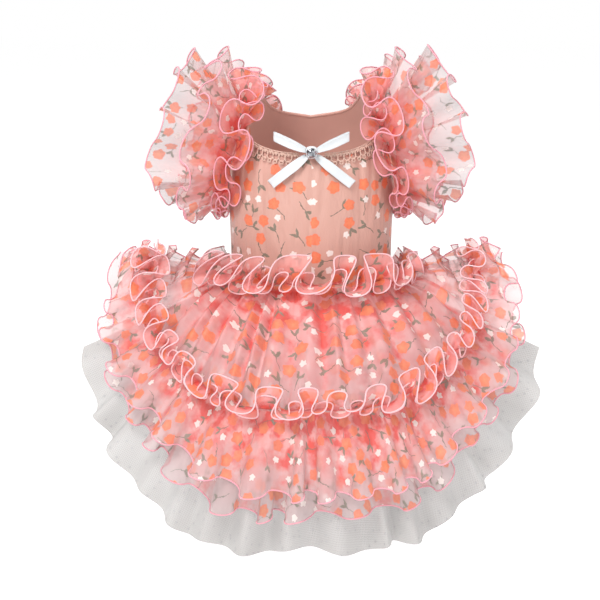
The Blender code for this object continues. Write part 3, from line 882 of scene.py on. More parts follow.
def merrow_material(name, thread):
    """Make the overlocked edge's thread, wound side by side."""
    material, tree, shader, flat = cloth_material(name, roughness=0.5, sheen=0.3)
    wave = tree.nodes.new("ShaderNodeTexWave")
    wave.inputs["Scale"].default_value = 420.0
    wave.inputs["Distortion"].default_value = 1.5
    tree.links.new(flat, wave.inputs["Vector"])
    turns = wave.outputs["Fac"]
    # Painted shade: darker in the grooves between the wound turns, which the same waves bump in
    paint(tree, shader, turns, thread, darkest=0.8)
    add_bump(tree, shader, turns, distance=0.0002, strength=0.6)
    return material


def tulle_material(groups, colours):
    """Make white net, greyed with painted shade, with scattered glitter."""
    material, tree, shader, flat = cloth_material("Tulle", roughness=0.6, sheen=0.2)
    speck_radius, speck_share = 0.00055, 0.5
    least_cover, cloud_cover, thread_cover = 0.47, 0.35, 0.24
    net = tree.nodes.new("ShaderNodeTexVoronoi")
    net.voronoi_dimensions = "2D"
    net.feature = "DISTANCE_TO_EDGE"
    net.inputs["Scale"].default_value = 900.0
    net.inputs["Randomness"].default_value = 0.35
    tree.links.new(flat, net.inputs["Vector"])
    thread = below(tree, net.outputs["Distance"], 0.10, 0.05)
    place = use_group(tree, groups["motifs"], Flat=flat, Spacing=0.0055, Seed=2.0, Scatter=1.0)
    spot = {"X": place["X"], "Y": place["Y"]}
    blossom = groups["blossom"]
    speck = use_group(tree, blossom, **spot, Radius=speck_radius, Petals=4.0, Notch=0.0)
    is_speck = below(tree, place["Chance"], speck_share, 0.01)
    glitter = calc(tree, "MULTIPLY", speck["Mask"], is_speck)
    # colours.tulle greys the white net: painted shade
    colour = blend(tree, glitter, opaque(colours.tulle), (0.30, 0.29, 0.30, 1))
    tree.links.new(colour, shader.inputs["Base Color"])
    cloudy = crumple(tree, flat, scale=30.0, stretch=(1.0, 0.3, 1.0))
    cloudy = calc(tree, "MULTIPLY_ADD", cloudy, cloud_cover, least_cover)
    cover = calc(tree, "MULTIPLY_ADD", thread, thread_cover, cloudy)
    tree.links.new(calc(tree, "MAXIMUM", cover, glitter), shader.inputs["Alpha"])
    tree.links.new(calc(tree, "MULTIPLY", glitter, 0.6), shader.inputs["Metallic"])
    return material


def lining_material(colours):
    """Make the plain wrong side of the satin, which also binds the neck."""
    material, tree, shader, flat = cloth_material("Plain Satin", roughness=0.5, sheen=0.15)
    crumple_shade = crumple(tree, flat, scale=90.0)
    # Painted shade: darker in the low parts of the crumples that also bump the satin
    paint(tree, shader, crumple_shade, colours.satin, darkest=0.9)
    add_bump(tree, shader, crumple_shade, distance=0.0003, strength=0.5)
    return material


def ribbon_material(groups, colours):
    """Make the bow's white satin ribbon, with fine ribs and soft creases."""
    material, tree, shader, flat = cloth_material("White Satin Ribbon", roughness=0.28, sheen=0.2)
    folds = crumple(tree, flat, scale=120.0, stretch=(1.0, 3.0, 1.0), detail=2.0)
    # Painted shade: darker in the soft creases that the same noise bumps in
    paint(tree, shader, folds, colours.ribbon, darkest=0.93)
    height = woven(tree, groups, flat, RIBBON_THREAD, folds, share=4.0)
    add_bump(tree, shader, height, distance=0.0001, strength=0.7)
    return material


def crochet_material(colours):
    """Make the neck edging's cotton, with painted shade between its strands."""
    material, tree, shader, flat = cloth_material("Crochet Cotton", roughness=0.8, sheen=0.3)
    strands = crumple(tree, flat, scale=900.0, stretch=(0.4, 1.0, 1.0), detail=2.0)
    # Painted shade: darker between the strands that the same noise bumps in
    paint(tree, shader, strands, colours.crochet, darkest=0.72)
    add_bump(tree, shader, strands, distance=0.0002, strength=0.8)
    return material


def crystal_material():
    """Make the foiled stone: dark, glossy and faceted, with random lighter cells that are painted
    reflections.
    """
    material, tree, shader = plain_material("Foiled Crystal", roughness=0.06, metallic=0.85)
    place = tree.nodes.new("ShaderNodeTexCoord")
    cells = tree.nodes.new("ShaderNodeTexVoronoi")
    cells.inputs["Scale"].default_value = 700.0
    tree.links.new(place.outputs["Object"], cells.inputs["Vector"])
    tone = tree.nodes.new("ShaderNodeSeparateColor")
    tree.links.new(cells.outputs["Color"], tone.inputs[0])
    # Random light cells on the dark stone: painted reflections of facets catching light
    colour = blend(tree, tone.outputs[0], (0.03, 0.03, 0.04, 1), (0.50, 0.52, 0.55, 1))
    tree.links.new(colour, shader.inputs["Base Color"])
    return material


def metal_material():
    """Make the setting's bright metal, slightly uneven in tone."""
    material, tree, shader = plain_material("Setting Metal", roughness=0.22, metallic=1.0)
    place = tree.nodes.new("ShaderNodeTexCoord")
    noise = tree.nodes.new("ShaderNodeTexNoise")
    noise.inputs["Scale"].default_value = 900.0
    tree.links.new(place.outputs["Object"], noise.inputs["Vector"])
    colour = blend(tree, noise.outputs[0], (0.45, 0.45, 0.47, 1), (0.72, 0.72, 0.74, 1))
    tree.links.new(colour, shader.inputs["Base Color"])
    return material


def stage_material():
    """Make the floor's pale finish, lit enough to show no edge."""
    material, _, shader = plain_material("Pale Floor", roughness=0.95)
    shader.inputs["Base Color"].default_value = (0.35, 0.35, 0.35, 1)
    shader.inputs["Emission Color"].default_value = (1, 1, 1, 1)
    shader.inputs["Emission Strength"].default_value = 0.85
    return material


# Finishes by their names, filled at the first use
MATERIALS = {}


def finish_named(name):
    """Give a finish, made with the others at the first call."""
    if not MATERIALS:
        colours = bpy.context.scene.dog_dress_colours
        motifs, blossom = motif_place_group(), blossom_group()
        groups = {"motifs": motifs, "blossom": blossom, "weave": weave_group()}
        groups["print"] = print_group(motifs, blossom, leaf_group())
        # Each sheer cloth: its name, its edge colour, how much it covers, and how strong its
        # painted red gather shade is
        sheer_cloths = {
            "organza": ("Printed Organza", colours.veil, 0.42, 1.2),
            "frill": ("Frill Organza", colours.organza, 0.46, 3.0),
            "sheer": ("Sleeve Organza", colours.mist, 0.44, 1.4),
        }
        for key, (label, edge, cover, deep) in sheer_cloths.items():
            MATERIALS[key] = organza_material(label, groups, colours, edge, cover, deep)
        MATERIALS.update(
            satin=satin_material(groups, colours),
            lining=lining_material(colours),
            # One edge thread in two copies: a darker one with painted shade for the hems, sleeves
            # and frills, and a paler, painted-lit one for the waist and middle ruffles
            merrow=merrow_material("Merrow Thread", colours.merrow),
            pale_merrow=merrow_material("Pale Merrow Thread", colours.pale_merrow),
            tulle=tulle_material(groups, colours),
            ribbon=ribbon_material(groups, colours),
            crochet=crochet_material(colours),
            crystal=crystal_material(),
            metal=metal_material(),
            stage=stage_material(),
        )
    return MATERIALS[name]


# Sizes and colours that a user can change


def length_setting(name, description, default):
    """Give a length that a user can change, in metres."""
    return bpy.props.FloatProperty(
        name=name, description=description, default=default, min=0.0, unit="LENGTH", precision=4
    )


def colour_setting(name, description, default):
    """Give a colour that a user can change."""
    return bpy.props.FloatVectorProperty(
        name=name, description=description, default=default, subtype="COLOR", min=0.0, max=1.0
    )


def share_setting(name, description, default):
    """Give a share of the skirt's length that a user can change."""
    return bpy.props.FloatProperty(
        name=name, description=description, default=default, subtype="FACTOR"
    )


class DogDressSizes(bpy.types.PropertyGroup):
    """Lengths of the dress, and shares of the skirt's length."""

    skirt_length: length_setting("Skirt length", "Waist to tulle hem at the front", 0.172)
    upper_hem: share_setting("Upper hem", "Waist to hem, as a share of the skirt's length", 0.78)
    lower_hem: share_setting("Lower hem", "Waist to hem, as a share of the skirt's length", 0.87)
    hem_lift: share_setting("Hem lift", "Rise of the hems between front and sides", 0.07)
    flounce_fold: length_setting("Flounce folds", "Half depth of the hems' waves", 0.0050)
    tulle_fold: length_setting("Tulle folds", "Half depth of the tulle's waves", 0.0045)
    overskirt_puff: length_setting("Overskirt puff", "How far the overskirt puffs out", 0.0025)
    waist_ruffle: length_setting("Waist ruffle", "Seam to edge", 0.021)
    mid_ruffle: length_setting("Middle ruffle", "Seam to edge", 0.018)
    sleeve: length_setting("Sleeve", "Outer flounce, seam to edge at the top", 0.056)
    inner_sleeve: length_setting("Inner sleeve", "Inner flounce, seam to edge at the top", 0.046)
    frill: length_setting("Shoulder frill", "Seam to edge at the top", 0.030)
    edge_radius: length_setting("Rolled edge", "Radius of the overlocked edges", 0.00046)
    ribbon_width: length_setting("Ribbon width", "Width of the bow's ribbon", 0.006)


class DogDressColours(bpy.types.PropertyGroup):
    """Colours of the cloths, the print and the trim."""

    organza: colour_setting("Organza", "Ground of the sheer cloth", (0.95, 0.40, 0.38))
    # Edge colours of the sheer cloth: the single layer's paler tone, greyed and darkened with
    # painted shade
    mist: colour_setting("Sleeve edges", "Single sleeve layers", (0.47, 0.40, 0.40))
    veil: colour_setting("Edges", "Sheer cloth at its free edges", (0.64, 0.44, 0.44))
    # Painted shade: the red that stands for the shade deep in the sheer cloth's gathers and fold
    # hollows
    depth: colour_setting("Gathers", "Sheer cloth deep in its gathers", (0.80, 0.04, 0.025))
    satin: colour_setting("Satin", "Ground of the bodice", (0.61, 0.335, 0.275))
    blossom: colour_setting("Blossom", "Printed blossoms", (0.80, 0.19, 0.095))
    bud: colour_setting("Bud", "Printed white buds", (0.82, 0.71, 0.67))
    leaf: colour_setting("Leaf", "Printed leaves and stems", (0.22, 0.18, 0.13))
    # The same edge thread twice: the darker copy is painted shade, the paler one painted light
    merrow: colour_setting("Rolled edge", "Thread of the hems' edges", (0.90, 0.38, 0.46))
    pale_merrow: colour_setting("Ruffle edge", "Thread of the ruffles' edges", (0.99, 0.60, 0.64))
    # Painted shade: the white net darkened to grey
    tulle: colour_setting("Tulle", "Net of the underskirt", (0.40, 0.38, 0.365))
    ribbon: colour_setting("Ribbon", "Satin ribbon of the bow", (0.68, 0.71, 0.73))
    crochet: colour_setting("Crochet", "Cotton of the neck edging", (0.72, 0.47, 0.38))


# Pieces


def flat_places(points, start=0.0, seam=0):
    """Lay a flounce out flat as the curved strip it was cut as, from its seam's column outward."""
    low, high = lengths_along(points[:, 0]), lengths_along(points[:, -1])
    middle = lengths_along(points[:, seam])
    edge = (low + high) / 2 if seam else high
    across = np.linalg.norm(np.diff(points, axis=1), axis=-1)
    run = np.concatenate([np.zeros((len(points), 1)), np.cumsum(across, axis=1)], axis=1)
    away = np.abs(run - run[:, seam : seam + 1])
    spare = max(edge[-1] - middle[-1], 0.001)
    turn_in_all = spare / float(np.mean(away[:, -1]))
    radius = middle[-1] / turn_in_all + away
    turn = (edge / edge[-1] * turn_in_all)[:, None]
    return np.stack([radius * np.sin(turn) + start, radius * np.cos(turn) + start], axis=-1)


def make_flounce(name, node, points, edges, start, seam=0, material="organza", valley=0.0):
    """Make one sheer layer with a rolled edge on each named side of its grid."""
    radius = bpy.context.scene.dog_dress_sizes.edge_radius
    # The waist and middle ruffles take the paler, painted-lit copy of the thread, and all other
    # edges take the darker copy with painted shade
    thread = finish_named("pale_merrow" if node.endswith("_ruffle") else "merrow")
    for word, line in edges:
        mesh = tube_mesh(name + word, [line], radius)
        new_piece(name + word, mesh, thread, "organza")
    columns = np.arange(points.shape[1])
    nearness = 1 - np.abs(columns - seam) / (points.shape[1] - 1 - seam)
    flat = flat_places(points, start, seam)
    mesh = sheet_mesh(name, points, flat, nearness=nearness[None, :], valley=valley)
    sheet = new_piece(name, mesh, finish_named(material), "organza", node)
    return sheet


def skirt_turns(count, turn=SKIRT_TURN):
    """Give turns from one side of the skirt to the other, and their shares of the way."""
    turns = np.linspace(-turn, turn, count)
    return turns, (turns / turn + 1) / 2


def skirt_grid(columns, rows, turn=SKIRT_TURN):
    """Give a skirt layer's turns, their shares of the way round, and shares down the layer."""
    turns, around = skirt_turns(columns, turn)
    return turns[:, None], around[:, None], np.linspace(0, 1, rows)[None, :]


def wave_sides(points, turn, share, waves, seed):
    """Lift and drop the two side edges of a skirt layer in lobes."""
    side_width, slide, swing, lift = 0.22, 0.0050, 0.004, 0.0065
    draw = np.random.default_rng(seed)
    near = np.clip((np.abs(turn) / SKIRT_TURN - (1 - side_width)) / side_width, 0, 1) ** 1.8
    near = near * np.clip(share * 6, 0, 1)
    start = np.where(turn > 0, *draw.uniform(0, 2 * math.pi, 2))
    angle = 2 * math.pi * waves * share + start
    points[..., 0] += near * slide * np.sin(2 * angle) * np.sign(turn)
    points[..., 1] -= near * swing * np.cos(angle * 0.9)
    points[..., 2] += near * lift * np.sin(angle)


def hem_rise(sizes, turn):
    """Give how far a hem rises between the front and the sides, as a share of the skirt."""
    middle, width = 0.5, 0.22
    return sizes.hem_lift * np.exp(-(((np.abs(turn) / SKIRT_TURN - middle) / width) ** 2))


def make_overskirt(surface, sizes):
    """Make the gathered panel from the waist to the middle ruffle."""
    folds, creases, spread, crease_depth = 19, 62, 0.45, 0.0010
    turn, u, v = skirt_grid(460, 34)
    share = v * (ray(turn, "seam") - SEAM_GAP / sizes.skirt_length)
    phase, size = fold_phase(u, folds, seed=5, spread=spread)
    fine, fine_size = fold_phase(u, creases, seed=6, spread=spread)
    wave = np.sin(phase + 0.9 * v)
    gather = np.exp(-v / 0.14) + 0.6 * np.exp(-(1 - v) / 0.10)
    puff = sizes.overskirt_puff * np.sin(math.pi * v)
    level = top_level(sizes, share) + puff * (1.1 + size * wave)
    held = np.sin(math.pi * v) ** 0.3
    level = level + crease_depth * gather * held * fine_size * np.sin(fine)
    points = surface.place(turn, share, level)
    wave_sides(points, turn, share, waves=6.5, seed=205)
    # valley marks the fold hollows, where the organza paints red shade and covers more
    valley = (size - 0.55) * (0.5 - 0.5 * wave) ** 6
    valley = valley + 0.2 * gather * (0.5 - 0.5 * np.sin(fine)) ** 2
    valley = np.clip(valley * 1.3, 0, 1)
    edges = (("_edge_left", points[0]), ("_edge_right", points[-1]))
    return make_flounce("overskirt_cloth", "overskirt", points, edges, 0.0, valley=valley)


def make_upper_flounce(surface, sizes):
    """Make the upper flounce, from under the middle ruffle to its rolled hem."""
    folds, creases, crease_depth = 19, 58, 0.0010
    turn, u, v = skirt_grid(folds * 28, 24)
    seam = ray(turn, "seam") + 2 * SEAM_GAP / sizes.skirt_length
    phase, size = fold_phase(u, folds, seed=9, spread=0.4)
    fine, fine_size = fold_phase(u, creases, seed=10, spread=0.45)
    gather = np.exp(-v / 0.3)
    lag, swing = meander(phase, HEM_SWING)
    hem = sizes.upper_hem + 0.014 * ripple(u, seed=21, count=6)
    hem = hem + 0.016 * size * np.sin(phase + 0.6)
    share = seam + (hem - hem_rise(sizes, turn) - seam) * v
    depth = sizes.flounce_fold * swell(0, 1, v, 1.1)
    level = top_level(sizes, share) + depth * (1 + size * swing * 2.2)
    level = level + crease_depth * gather * fine_size * np.sin(fine)
    bend = turn + lag * size * swell(0, 1, v) * 2 * SKIRT_TURN / folds
    points = surface.place(bend, share, level)
    wave_sides(points, turn, share, waves=5.5, seed=209)
    edges = (("_edge", points[:, -1]), ("_edge_left", points[0]), ("_edge_right", points[-1]))
    # valley marks the fold hollows, where the organza paints red shade and covers more
    valley = np.clip(0.5 - swing * 1.2, 0, 1) ** 3 + 0.5 * gather * (np.sin(fine) < 0)
    valley = np.clip(valley, 0, 1)
    name = "upper_flounce"
    return make_flounce(name + "_cloth", name, points, edges, 0.7, valley=valley)


def make_lower_flounce(surface, sizes):
    """Make the lower flounce, from the waist seam to its rolled hem."""
    folds = 17
    turn, u, v = skirt_grid(folds * 30, 36)
    phase, size = fold_phase(u, folds, seed=13, spread=0.4)
    lag, swing = meander(phase, HEM_SWING)
    hem = sizes.lower_hem + 0.014 * ripple(u, seed=31, count=6)
    hem = hem + 0.017 * size * np.sin(phase + 0.6)
    share = v * (hem - hem_rise(sizes, turn))
    level = lower_level(sizes, share) + lower_depth(sizes, share) * size * swing * 2.1
    bend = turn + lag * size * swell(0, 1, v, 2.0) * 2 * SKIRT_TURN / folds
    points = surface.place(bend, share, level)
    edges = (("_edge", points[:, -1]),)
    # valley marks the fold hollows, where the organza paints red shade and covers more
    valley = np.clip(0.5 - swing * 1.2, 0, 1) ** 3 * np.ones_like(v)
    name = "lower_flounce"
    return make_flounce(name + "_cloth", name, points, edges, 1.6, valley=valley)


def make_tulle(surface, sizes):
    """Make the net underskirt."""
    folds = 15
    turn, u, v = skirt_grid(folds * 26, 36, TULLE_TURN)
    phase, size = fold_phase(u, folds, seed=17, spread=0.45)
    hem = ray(turn, "tulle") + 0.034 * ripple(u, seed=41, count=12)
    hem = hem + 0.010 * size * np.sin(phase * 0.5)
    share = v * hem
    level = tulle_depth(sizes, share) * size * np.sin(phase)
    points = surface.place(turn, share, level)
    mesh = sheet_mesh("tulle_cloth", points, flat_places(points))
    sheet = new_piece("tulle_cloth", mesh, finish_named("tulle"), "tulle", "tulle_underskirt")
    return sheet


def fold_leaf(base, out, up, length, tilt, lag, lean, rows=LEAF_ROWS, start_share=0.0):
    """Give the points of one leaf that leaves its seam outward and tips towards its edge.

    tilt is each place's angle at the edge, start_share the part of it at the seam, lag how far
    along the seam the edge lies, and lean how far the leaf slants along the seam as it rises.
    """
    along = unit(np.gradient(base, axis=0))
    share = (np.arange(rows) + 0.5)[None, :] / rows
    angle = tilt[:, None] * (start_share + (1 - start_share) * share**0.7)
    ways = out[:, None] * np.cos(angle)[..., None] + up[:, None] * np.sin(angle)[..., None]
    walk = np.cumsum(ways * (length[:, None, None] / rows), axis=1)
    reach = np.linspace(0, 1, rows + 1)[None, 1:]
    rise = np.sum(walk * up[:, None], axis=-1)
    slide = lag[:, None] * reach**1.1 + np.reshape(lean, (-1, 1)) * rise
    leaf = base[:, None] + walk + along[:, None] * slide[..., None]
    return np.concatenate([base[:, None], leaf], axis=1)


def double_strip(low, high):
    """Join two leaves that share a seam into one grid, and give its seam's column."""
    return np.concatenate([low[:, ::-1], high[:, 1:]], axis=1), low.shape[1] - 1


def make_waist_ruffle(surface, sizes):
    """Make the double-edged ruffle on the waist seam."""
    folds, seed = 9, 51
    turn, u = skirt_turns(folds * 40)
    lift = top_level(sizes, 0.0) + CLOTH_WALL + SEAM_GAP * 2
    base = surface.place(turn, np.zeros_like(turn), np.full_like(turn, lift))
    down = unit(surface.read(surface.ways, turn, np.zeros_like(turn)))
    room = np.arccos(np.clip(down[:, 2], -1, 1))
    outward = unit(np.cross(unit(np.gradient(base, axis=0)), UP))
    rise = (math.pi / 2 - room * 0.50)[:, None]
    middle = outward * np.cos(rise) + UP * np.sin(rise)
    upward = UP * np.cos(rise) - outward * np.sin(rise)
    fullness = ray(turn, "waist_fold")
    small = ripple(u, seed + 1, 40)
    half_room = np.clip(room * 0.5 + math.radians(4), 0.1, None)
    opening = math.radians(12) * (0.4 + 0.6 * fullness)
    leaves = []
    for way, count, reach in ((-1, folds + 4, 0.66), (1, folds, 1.0)):
        _, size, lag, sway = ruffle_folds(u, count, seed + 20 * (way < 0), RUFFLE_SWING)
        pitch = lengths_along(base)[-1] / count
        uneven = reach * (1.08 + 0.20 * ripple(u, seed + 3 + way, 14))
        length = sizes.waist_ruffle * (0.6 + 0.4 * fullness) * uneven
        tilt = half_room * 0.88 * soften(sway * size) + opening * way + 0.12 * small
        slide = lag * pitch * size * (0.3 + 0.7 * fullness)
        lean = 0.45 + 0.45 * ripple(u, seed + 9, 5)
        leaves.append(fold_leaf(base, middle, upward, length, tilt, slide, lean))
    points, seam = double_strip(*leaves)
    edges = (("_edge_low", points[:, 0]), ("_edge_high", points[:, -1]))
    return make_flounce("waist_ruffle_cloth", "waist_ruffle", points, edges, 2.5, seam, "frill")


def make_mid_ruffle(surface, sizes):
    """Make the double-edged ruffle over the skirt's middle seam."""
    folds, seed = 19, 61
    turn, u = skirt_turns(folds * 36)
    share = ray(turn, "seam")
    lift = top_level(sizes, share) + CLOTH_WALL + SEAM_GAP * 2
    base = surface.place(turn, share, lift)
    middle = unit(surface.read(surface.normals, turn, share))
    upward = -unit(surface.read(surface.ways, turn, share))
    small = ripple(u, seed + 1, 60)
    opening, most_tilt, end_width = math.radians(14), math.radians(57), 0.07
    side = np.abs(turn / SKIRT_TURN)
    end = np.clip((side - (1 - end_width)) / end_width, 0, 1)
    taper = 1 + 0.2 * side**4 - 0.65 * end**2
    leaves = []
    for way, count, reach in ((-1, folds + 6, 0.62), (1, folds, 1.0)):
        _, size, lag, sway = ruffle_folds(u, count, seed + 20 * (way < 0), RUFFLE_SWING)
        pitch = lengths_along(base)[-1] / count
        uneven = reach * (1.05 + 0.22 * ripple(u, seed + 3 + way, 22))
        length = sizes.mid_ruffle * uneven * taper
        tilt = most_tilt * soften(sway * size) + opening * way + 0.12 * small
        lean = 0.1 + 0.55 * ripple(u, seed + 9, 9)
        slide = lag * pitch * size
        leaves.append(fold_leaf(base, middle, upward, length, tilt, slide, lean))
    points, seam = double_strip(*leaves)
    edges = (("_edge_low", points[:, 0]), ("_edge_high", points[:, -1]))
    return make_flounce("mid_ruffle_cloth", "mid_ruffle", points, edges, 3.6, seam, "frill")


# Armhole


def arm_frame(turn, margin):
    """Give points round the armhole, the bodice's normals there and the ways off the hole."""

    nudge = 0.001

    def on_bodice(extra):
        """Give the armhole's outline on the bodice, widened by an extra."""
        back = ARM_BACK - (ARM_HALF_DEPTH + extra) * np.sin(turn)
        height = ARM_HEIGHT + (ARM_HALF_HEIGHT + extra) * np.cos(turn)
        width, depth = half_sizes(height)
        return stack(width * np.sqrt(1 - (back / depth) ** 2), back, height)

    point = on_bodice(margin)
    off = unit(on_bodice(margin + nudge) - on_bodice(margin - nudge))
    width, depth = half_sizes(point[:, 2])
    flat = unit(stack(point[:, 0] / width**2, point[:, 1] / depth**2, np.zeros(len(point))))
    around = stack(-flat[:, 1], flat[:, 0], np.zeros(len(point)))
    slope = half_sizes(point[:, 2] + nudge)[0] - half_sizes(point[:, 2] - nudge)[0]
    slope = slope / (2 * nudge) * flat[:, 0]
    up = unit(stack(slope * flat[:, 0], slope * flat[:, 1], np.ones(len(point))))
    normal = unit(np.cross(around, up))
    normal = normal * np.sign(normal[:, :1])
    off = unit(off - normal * np.sum(off * normal, axis=1, keepdims=True))
    return point, normal, off


def arm(turn, name):
    """Read a column of the armhole's sections at angles from its top."""
    return smooth(ARM_SECTIONS, ARM_COLUMNS, name, np.degrees(turn) % 360)


def make_sleeve(side, word, layer, sizes):
    """Make one of the two flounces of a sleeve."""
    ring, length, folds, seed, material = {
        "outer": (0, sizes.sleeve, 11, 71, "sheer"),
        "inner": (1, sizes.inner_sleeve, 12, 81, "organza"),
    }[layer]
    seed += 3 * (side > 0)
    u = np.linspace(0, 1, folds * 36 + 1)
    turn = 2 * math.pi * u
    point, normal, off = arm_frame(turn, SEAM_GAP + CLOTH_WALL / 2 + ring * LAYER_PITCH)
    lean = np.radians(arm(turn, layer))[:, None]
    way = normal * np.cos(lean) + off * np.sin(lean)
    square = off * np.cos(lean) - normal * np.sin(lean)
    base = point + normal * (BODICE_WALL / 2 + SEAM_GAP + CLOTH_WALL / 2)
    phase, size, lag, sway = ruffle_folds(u, folds, seed, SLEEVE_SWING, 0.35, True)
    reach = length * arm(turn, "sleeve") * (1 + 0.07 * ripple(u, seed + 1, 9, True))
    reach = reach * (1 + 0.05 * np.sin(phase + 1.0))
    edge = base + way * reach[:, None]
    pitch = lengths_along(edge)[-1] / folds
    tilt = math.radians(8.5) * sway * size + 0.03 * ripple(u, seed + 2, 30, True)
    points = fold_leaf(base, way, square, reach, tilt, lag * pitch * size, 0.0, 20, 0.8)
    points[..., 0] *= side
    name = "sleeve_" + layer + "_" + word
    edges = (("_edge", points[:, -1]),)
    start = 4.5 + ring + 2 * (side > 0)
    return make_flounce(name + "_cloth", name, points, edges, start, 0, material)


def make_shoulder_frill(side, word, sizes):
    """Make the double-edged frill round an armhole."""
    folds, seed = 10, 91 + 3 * (side > 0)
    opening, most_tilt = math.radians(11), math.radians(24)
    u = np.linspace(0, 1, folds * 40 + 1)
    turn = 2 * math.pi * u
    point, normal, off = arm_frame(turn, SEAM_GAP + 2.5 * LAYER_PITCH)
    lean = np.radians(arm(turn, "frill_lean"))[:, None]
    middle = normal * np.cos(lean) + off * np.sin(lean)
    square = off * np.cos(lean) - normal * np.sin(lean)
    base = point + normal * (BODICE_WALL / 2 + SEAM_GAP * 2 + CLOTH_WALL)
    small = ripple(u, seed + 2, 30, True)
    leaves = []
    for way, count, reach in ((-1, folds, 1.0), (1, folds + 3, 0.8)):
        _, size, lag, sway = ruffle_folds(
            u, count, seed + 20 * (way > 0), RUFFLE_SWING, closed=True
        )
        length = reach * (1 + 0.18 * ripple(u, seed + 1 + way, 9, True))
        length = length * sizes.frill * arm(turn, "frill")
        pitch = lengths_along(base + middle * length[:, None] * 0.7)[-1] / count
        tilt = most_tilt * sway * size + opening * way + 0.10 * small
        slide = lag * pitch * size
        lean = 0.15 + 0.5 * ripple(u, seed + 9, 7, True)
        leaf = fold_leaf(base, middle, square, length, tilt, slide, lean, start_share=0.4)
        leaves.append(leaf)
    points, seam = double_strip(*leaves)
    points[..., 0] *= side
    name = "shoulder_frill_" + word
    edges = (("_edge_in", points[:, 0]), ("_edge_out", points[:, -1]))
    start = 9.0 + 2 * (side > 0)
    return make_flounce(name + "_cloth", name, points, edges, start, seam, "frill")


# Bodice, lace and bow


def bodice_creases(turn, height):
    """Give how far the satin lies in below its plain surface: puckers, drape, gathers and seams."""
    side_seam = 0.62
    from_top = neck_height(turn) - height
    wrinkle = 0.5 + 0.5 * np.sin(turn * 34 + 2 * np.sin(turn * 7) + 60 * from_top)
    front = np.clip(np.cos(turn), 0, 1)
    pucker = 0.0014 * np.exp(-from_top / 0.020) * wrinkle * (0.4 + 0.6 * front)
    drape = 0.0007 * (1 + np.sin(turn * 9 + 2.2 * np.sin(height * 55) + 1.3 * np.sin(turn * 3)))
    drape = drape * np.exp(-(((height - 0.03) / 0.035) ** 2)) * 0.5
    gather = 0.0008 * np.exp(-(height + BODICE_DROP) / 0.018) * (1 + np.sin(turn * 52)) / 2
    places = (side_seam, 2 * math.pi - side_seam)
    seams = sum(0.0006 * np.exp(-(((turn - place) * 60) ** 2)) for place in places)
    return pucker + gather + seams + drape


def make_bodice_wall():
    """Make the satin body, printed outside and plain inside."""
    turn = np.linspace(0, 2 * math.pi, 241)[:, None]
    v = np.linspace(0, 1, 60)[None, :]
    height = (neck_height(turn) + BODICE_DROP) * v - BODICE_DROP
    outer = bodice_points(turn, height, BODICE_WALL / 2 - bodice_creases(turn, height))
    inner = bodice_points(turn, height, -BODICE_WALL / 2)
    run = turn * WAIST_HALF_WIDTH * np.ones_like(v)
    flat = np.stack([run, height], axis=-1)
    lining_start = 0.5
    points = np.concatenate([outer, inner[:, ::-1], outer[:, :1]], axis=1)
    flats = np.concatenate([flat, flat[:, ::-1] + lining_start, flat[:, :1]], axis=1)
    mesh = sheet_mesh("bodice_cloth", points, flats, closed=True)
    nodes = ("bodice_back", "bodice_belly")
    body = new_piece("bodice_cloth", mesh, finish_named("satin"), "satin", *nodes)
    mesh.materials.append(finish_named("lining"))
    inward = BODICE_WALL * 0.4
    for face in mesh.polygons:
        width, depth = half_sizes(face.center.z)
        spot = (face.center.x / (width - inward), face.center.y / (depth - inward))
        face.material_index = int(math.hypot(*spot) < 1)
    return body


def cut_armholes(body):
    """Cut both armholes out of the bodice with one long oval bar."""
    bar = bmesh.new()
    bmesh.ops.create_cone(
        bar, cap_ends=True, segments=48, radius1=1, radius2=1, depth=4 * WAIST_HALF_WIDTH
    )
    for vertex in bar.verts:
        across, up, along = vertex.co
        vertex.co = (along, ARM_BACK + across * ARM_HALF_DEPTH, ARM_HEIGHT + up * ARM_HALF_HEIGHT)
    bar.normal_update()
    mesh = bpy.data.meshes.new("armholes")
    bar.to_mesh(mesh)
    bar.free()
    cutter = bpy.data.objects.new("armholes", mesh)
    bpy.context.scene.collection.objects.link(cutter)
    cut = body.modifiers.new("armholes", "BOOLEAN")
    cut.operation = "DIFFERENCE"
    cut.object = cutter
    bake_modifiers(body)
    bpy.data.objects.remove(cutter, do_unlink=True)


def make_neck_binding():
    """Make the plain binding along the neckline."""
    radius, sink = 0.0011, 0.0002
    turn = np.linspace(0, 2 * math.pi, 200, endpoint=False)
    line = bodice_points(turn, neck_height(turn) - sink)
    mesh = tube_mesh("neck_binding", [line], radius, 8, closed=True)
    return new_piece("neck_binding", mesh, finish_named("lining"), "satin")


def bake_modifiers(piece):
    """Turn a piece's modifiers into its mesh."""
    graph = bpy.context.evaluated_depsgraph_get()
    mesh = bpy.data.meshes.new_from_object(piece.evaluated_get(graph))
    old = piece.data
    piece.modifiers.clear()
    piece.data = mesh
    bpy.data.meshes.remove(old)


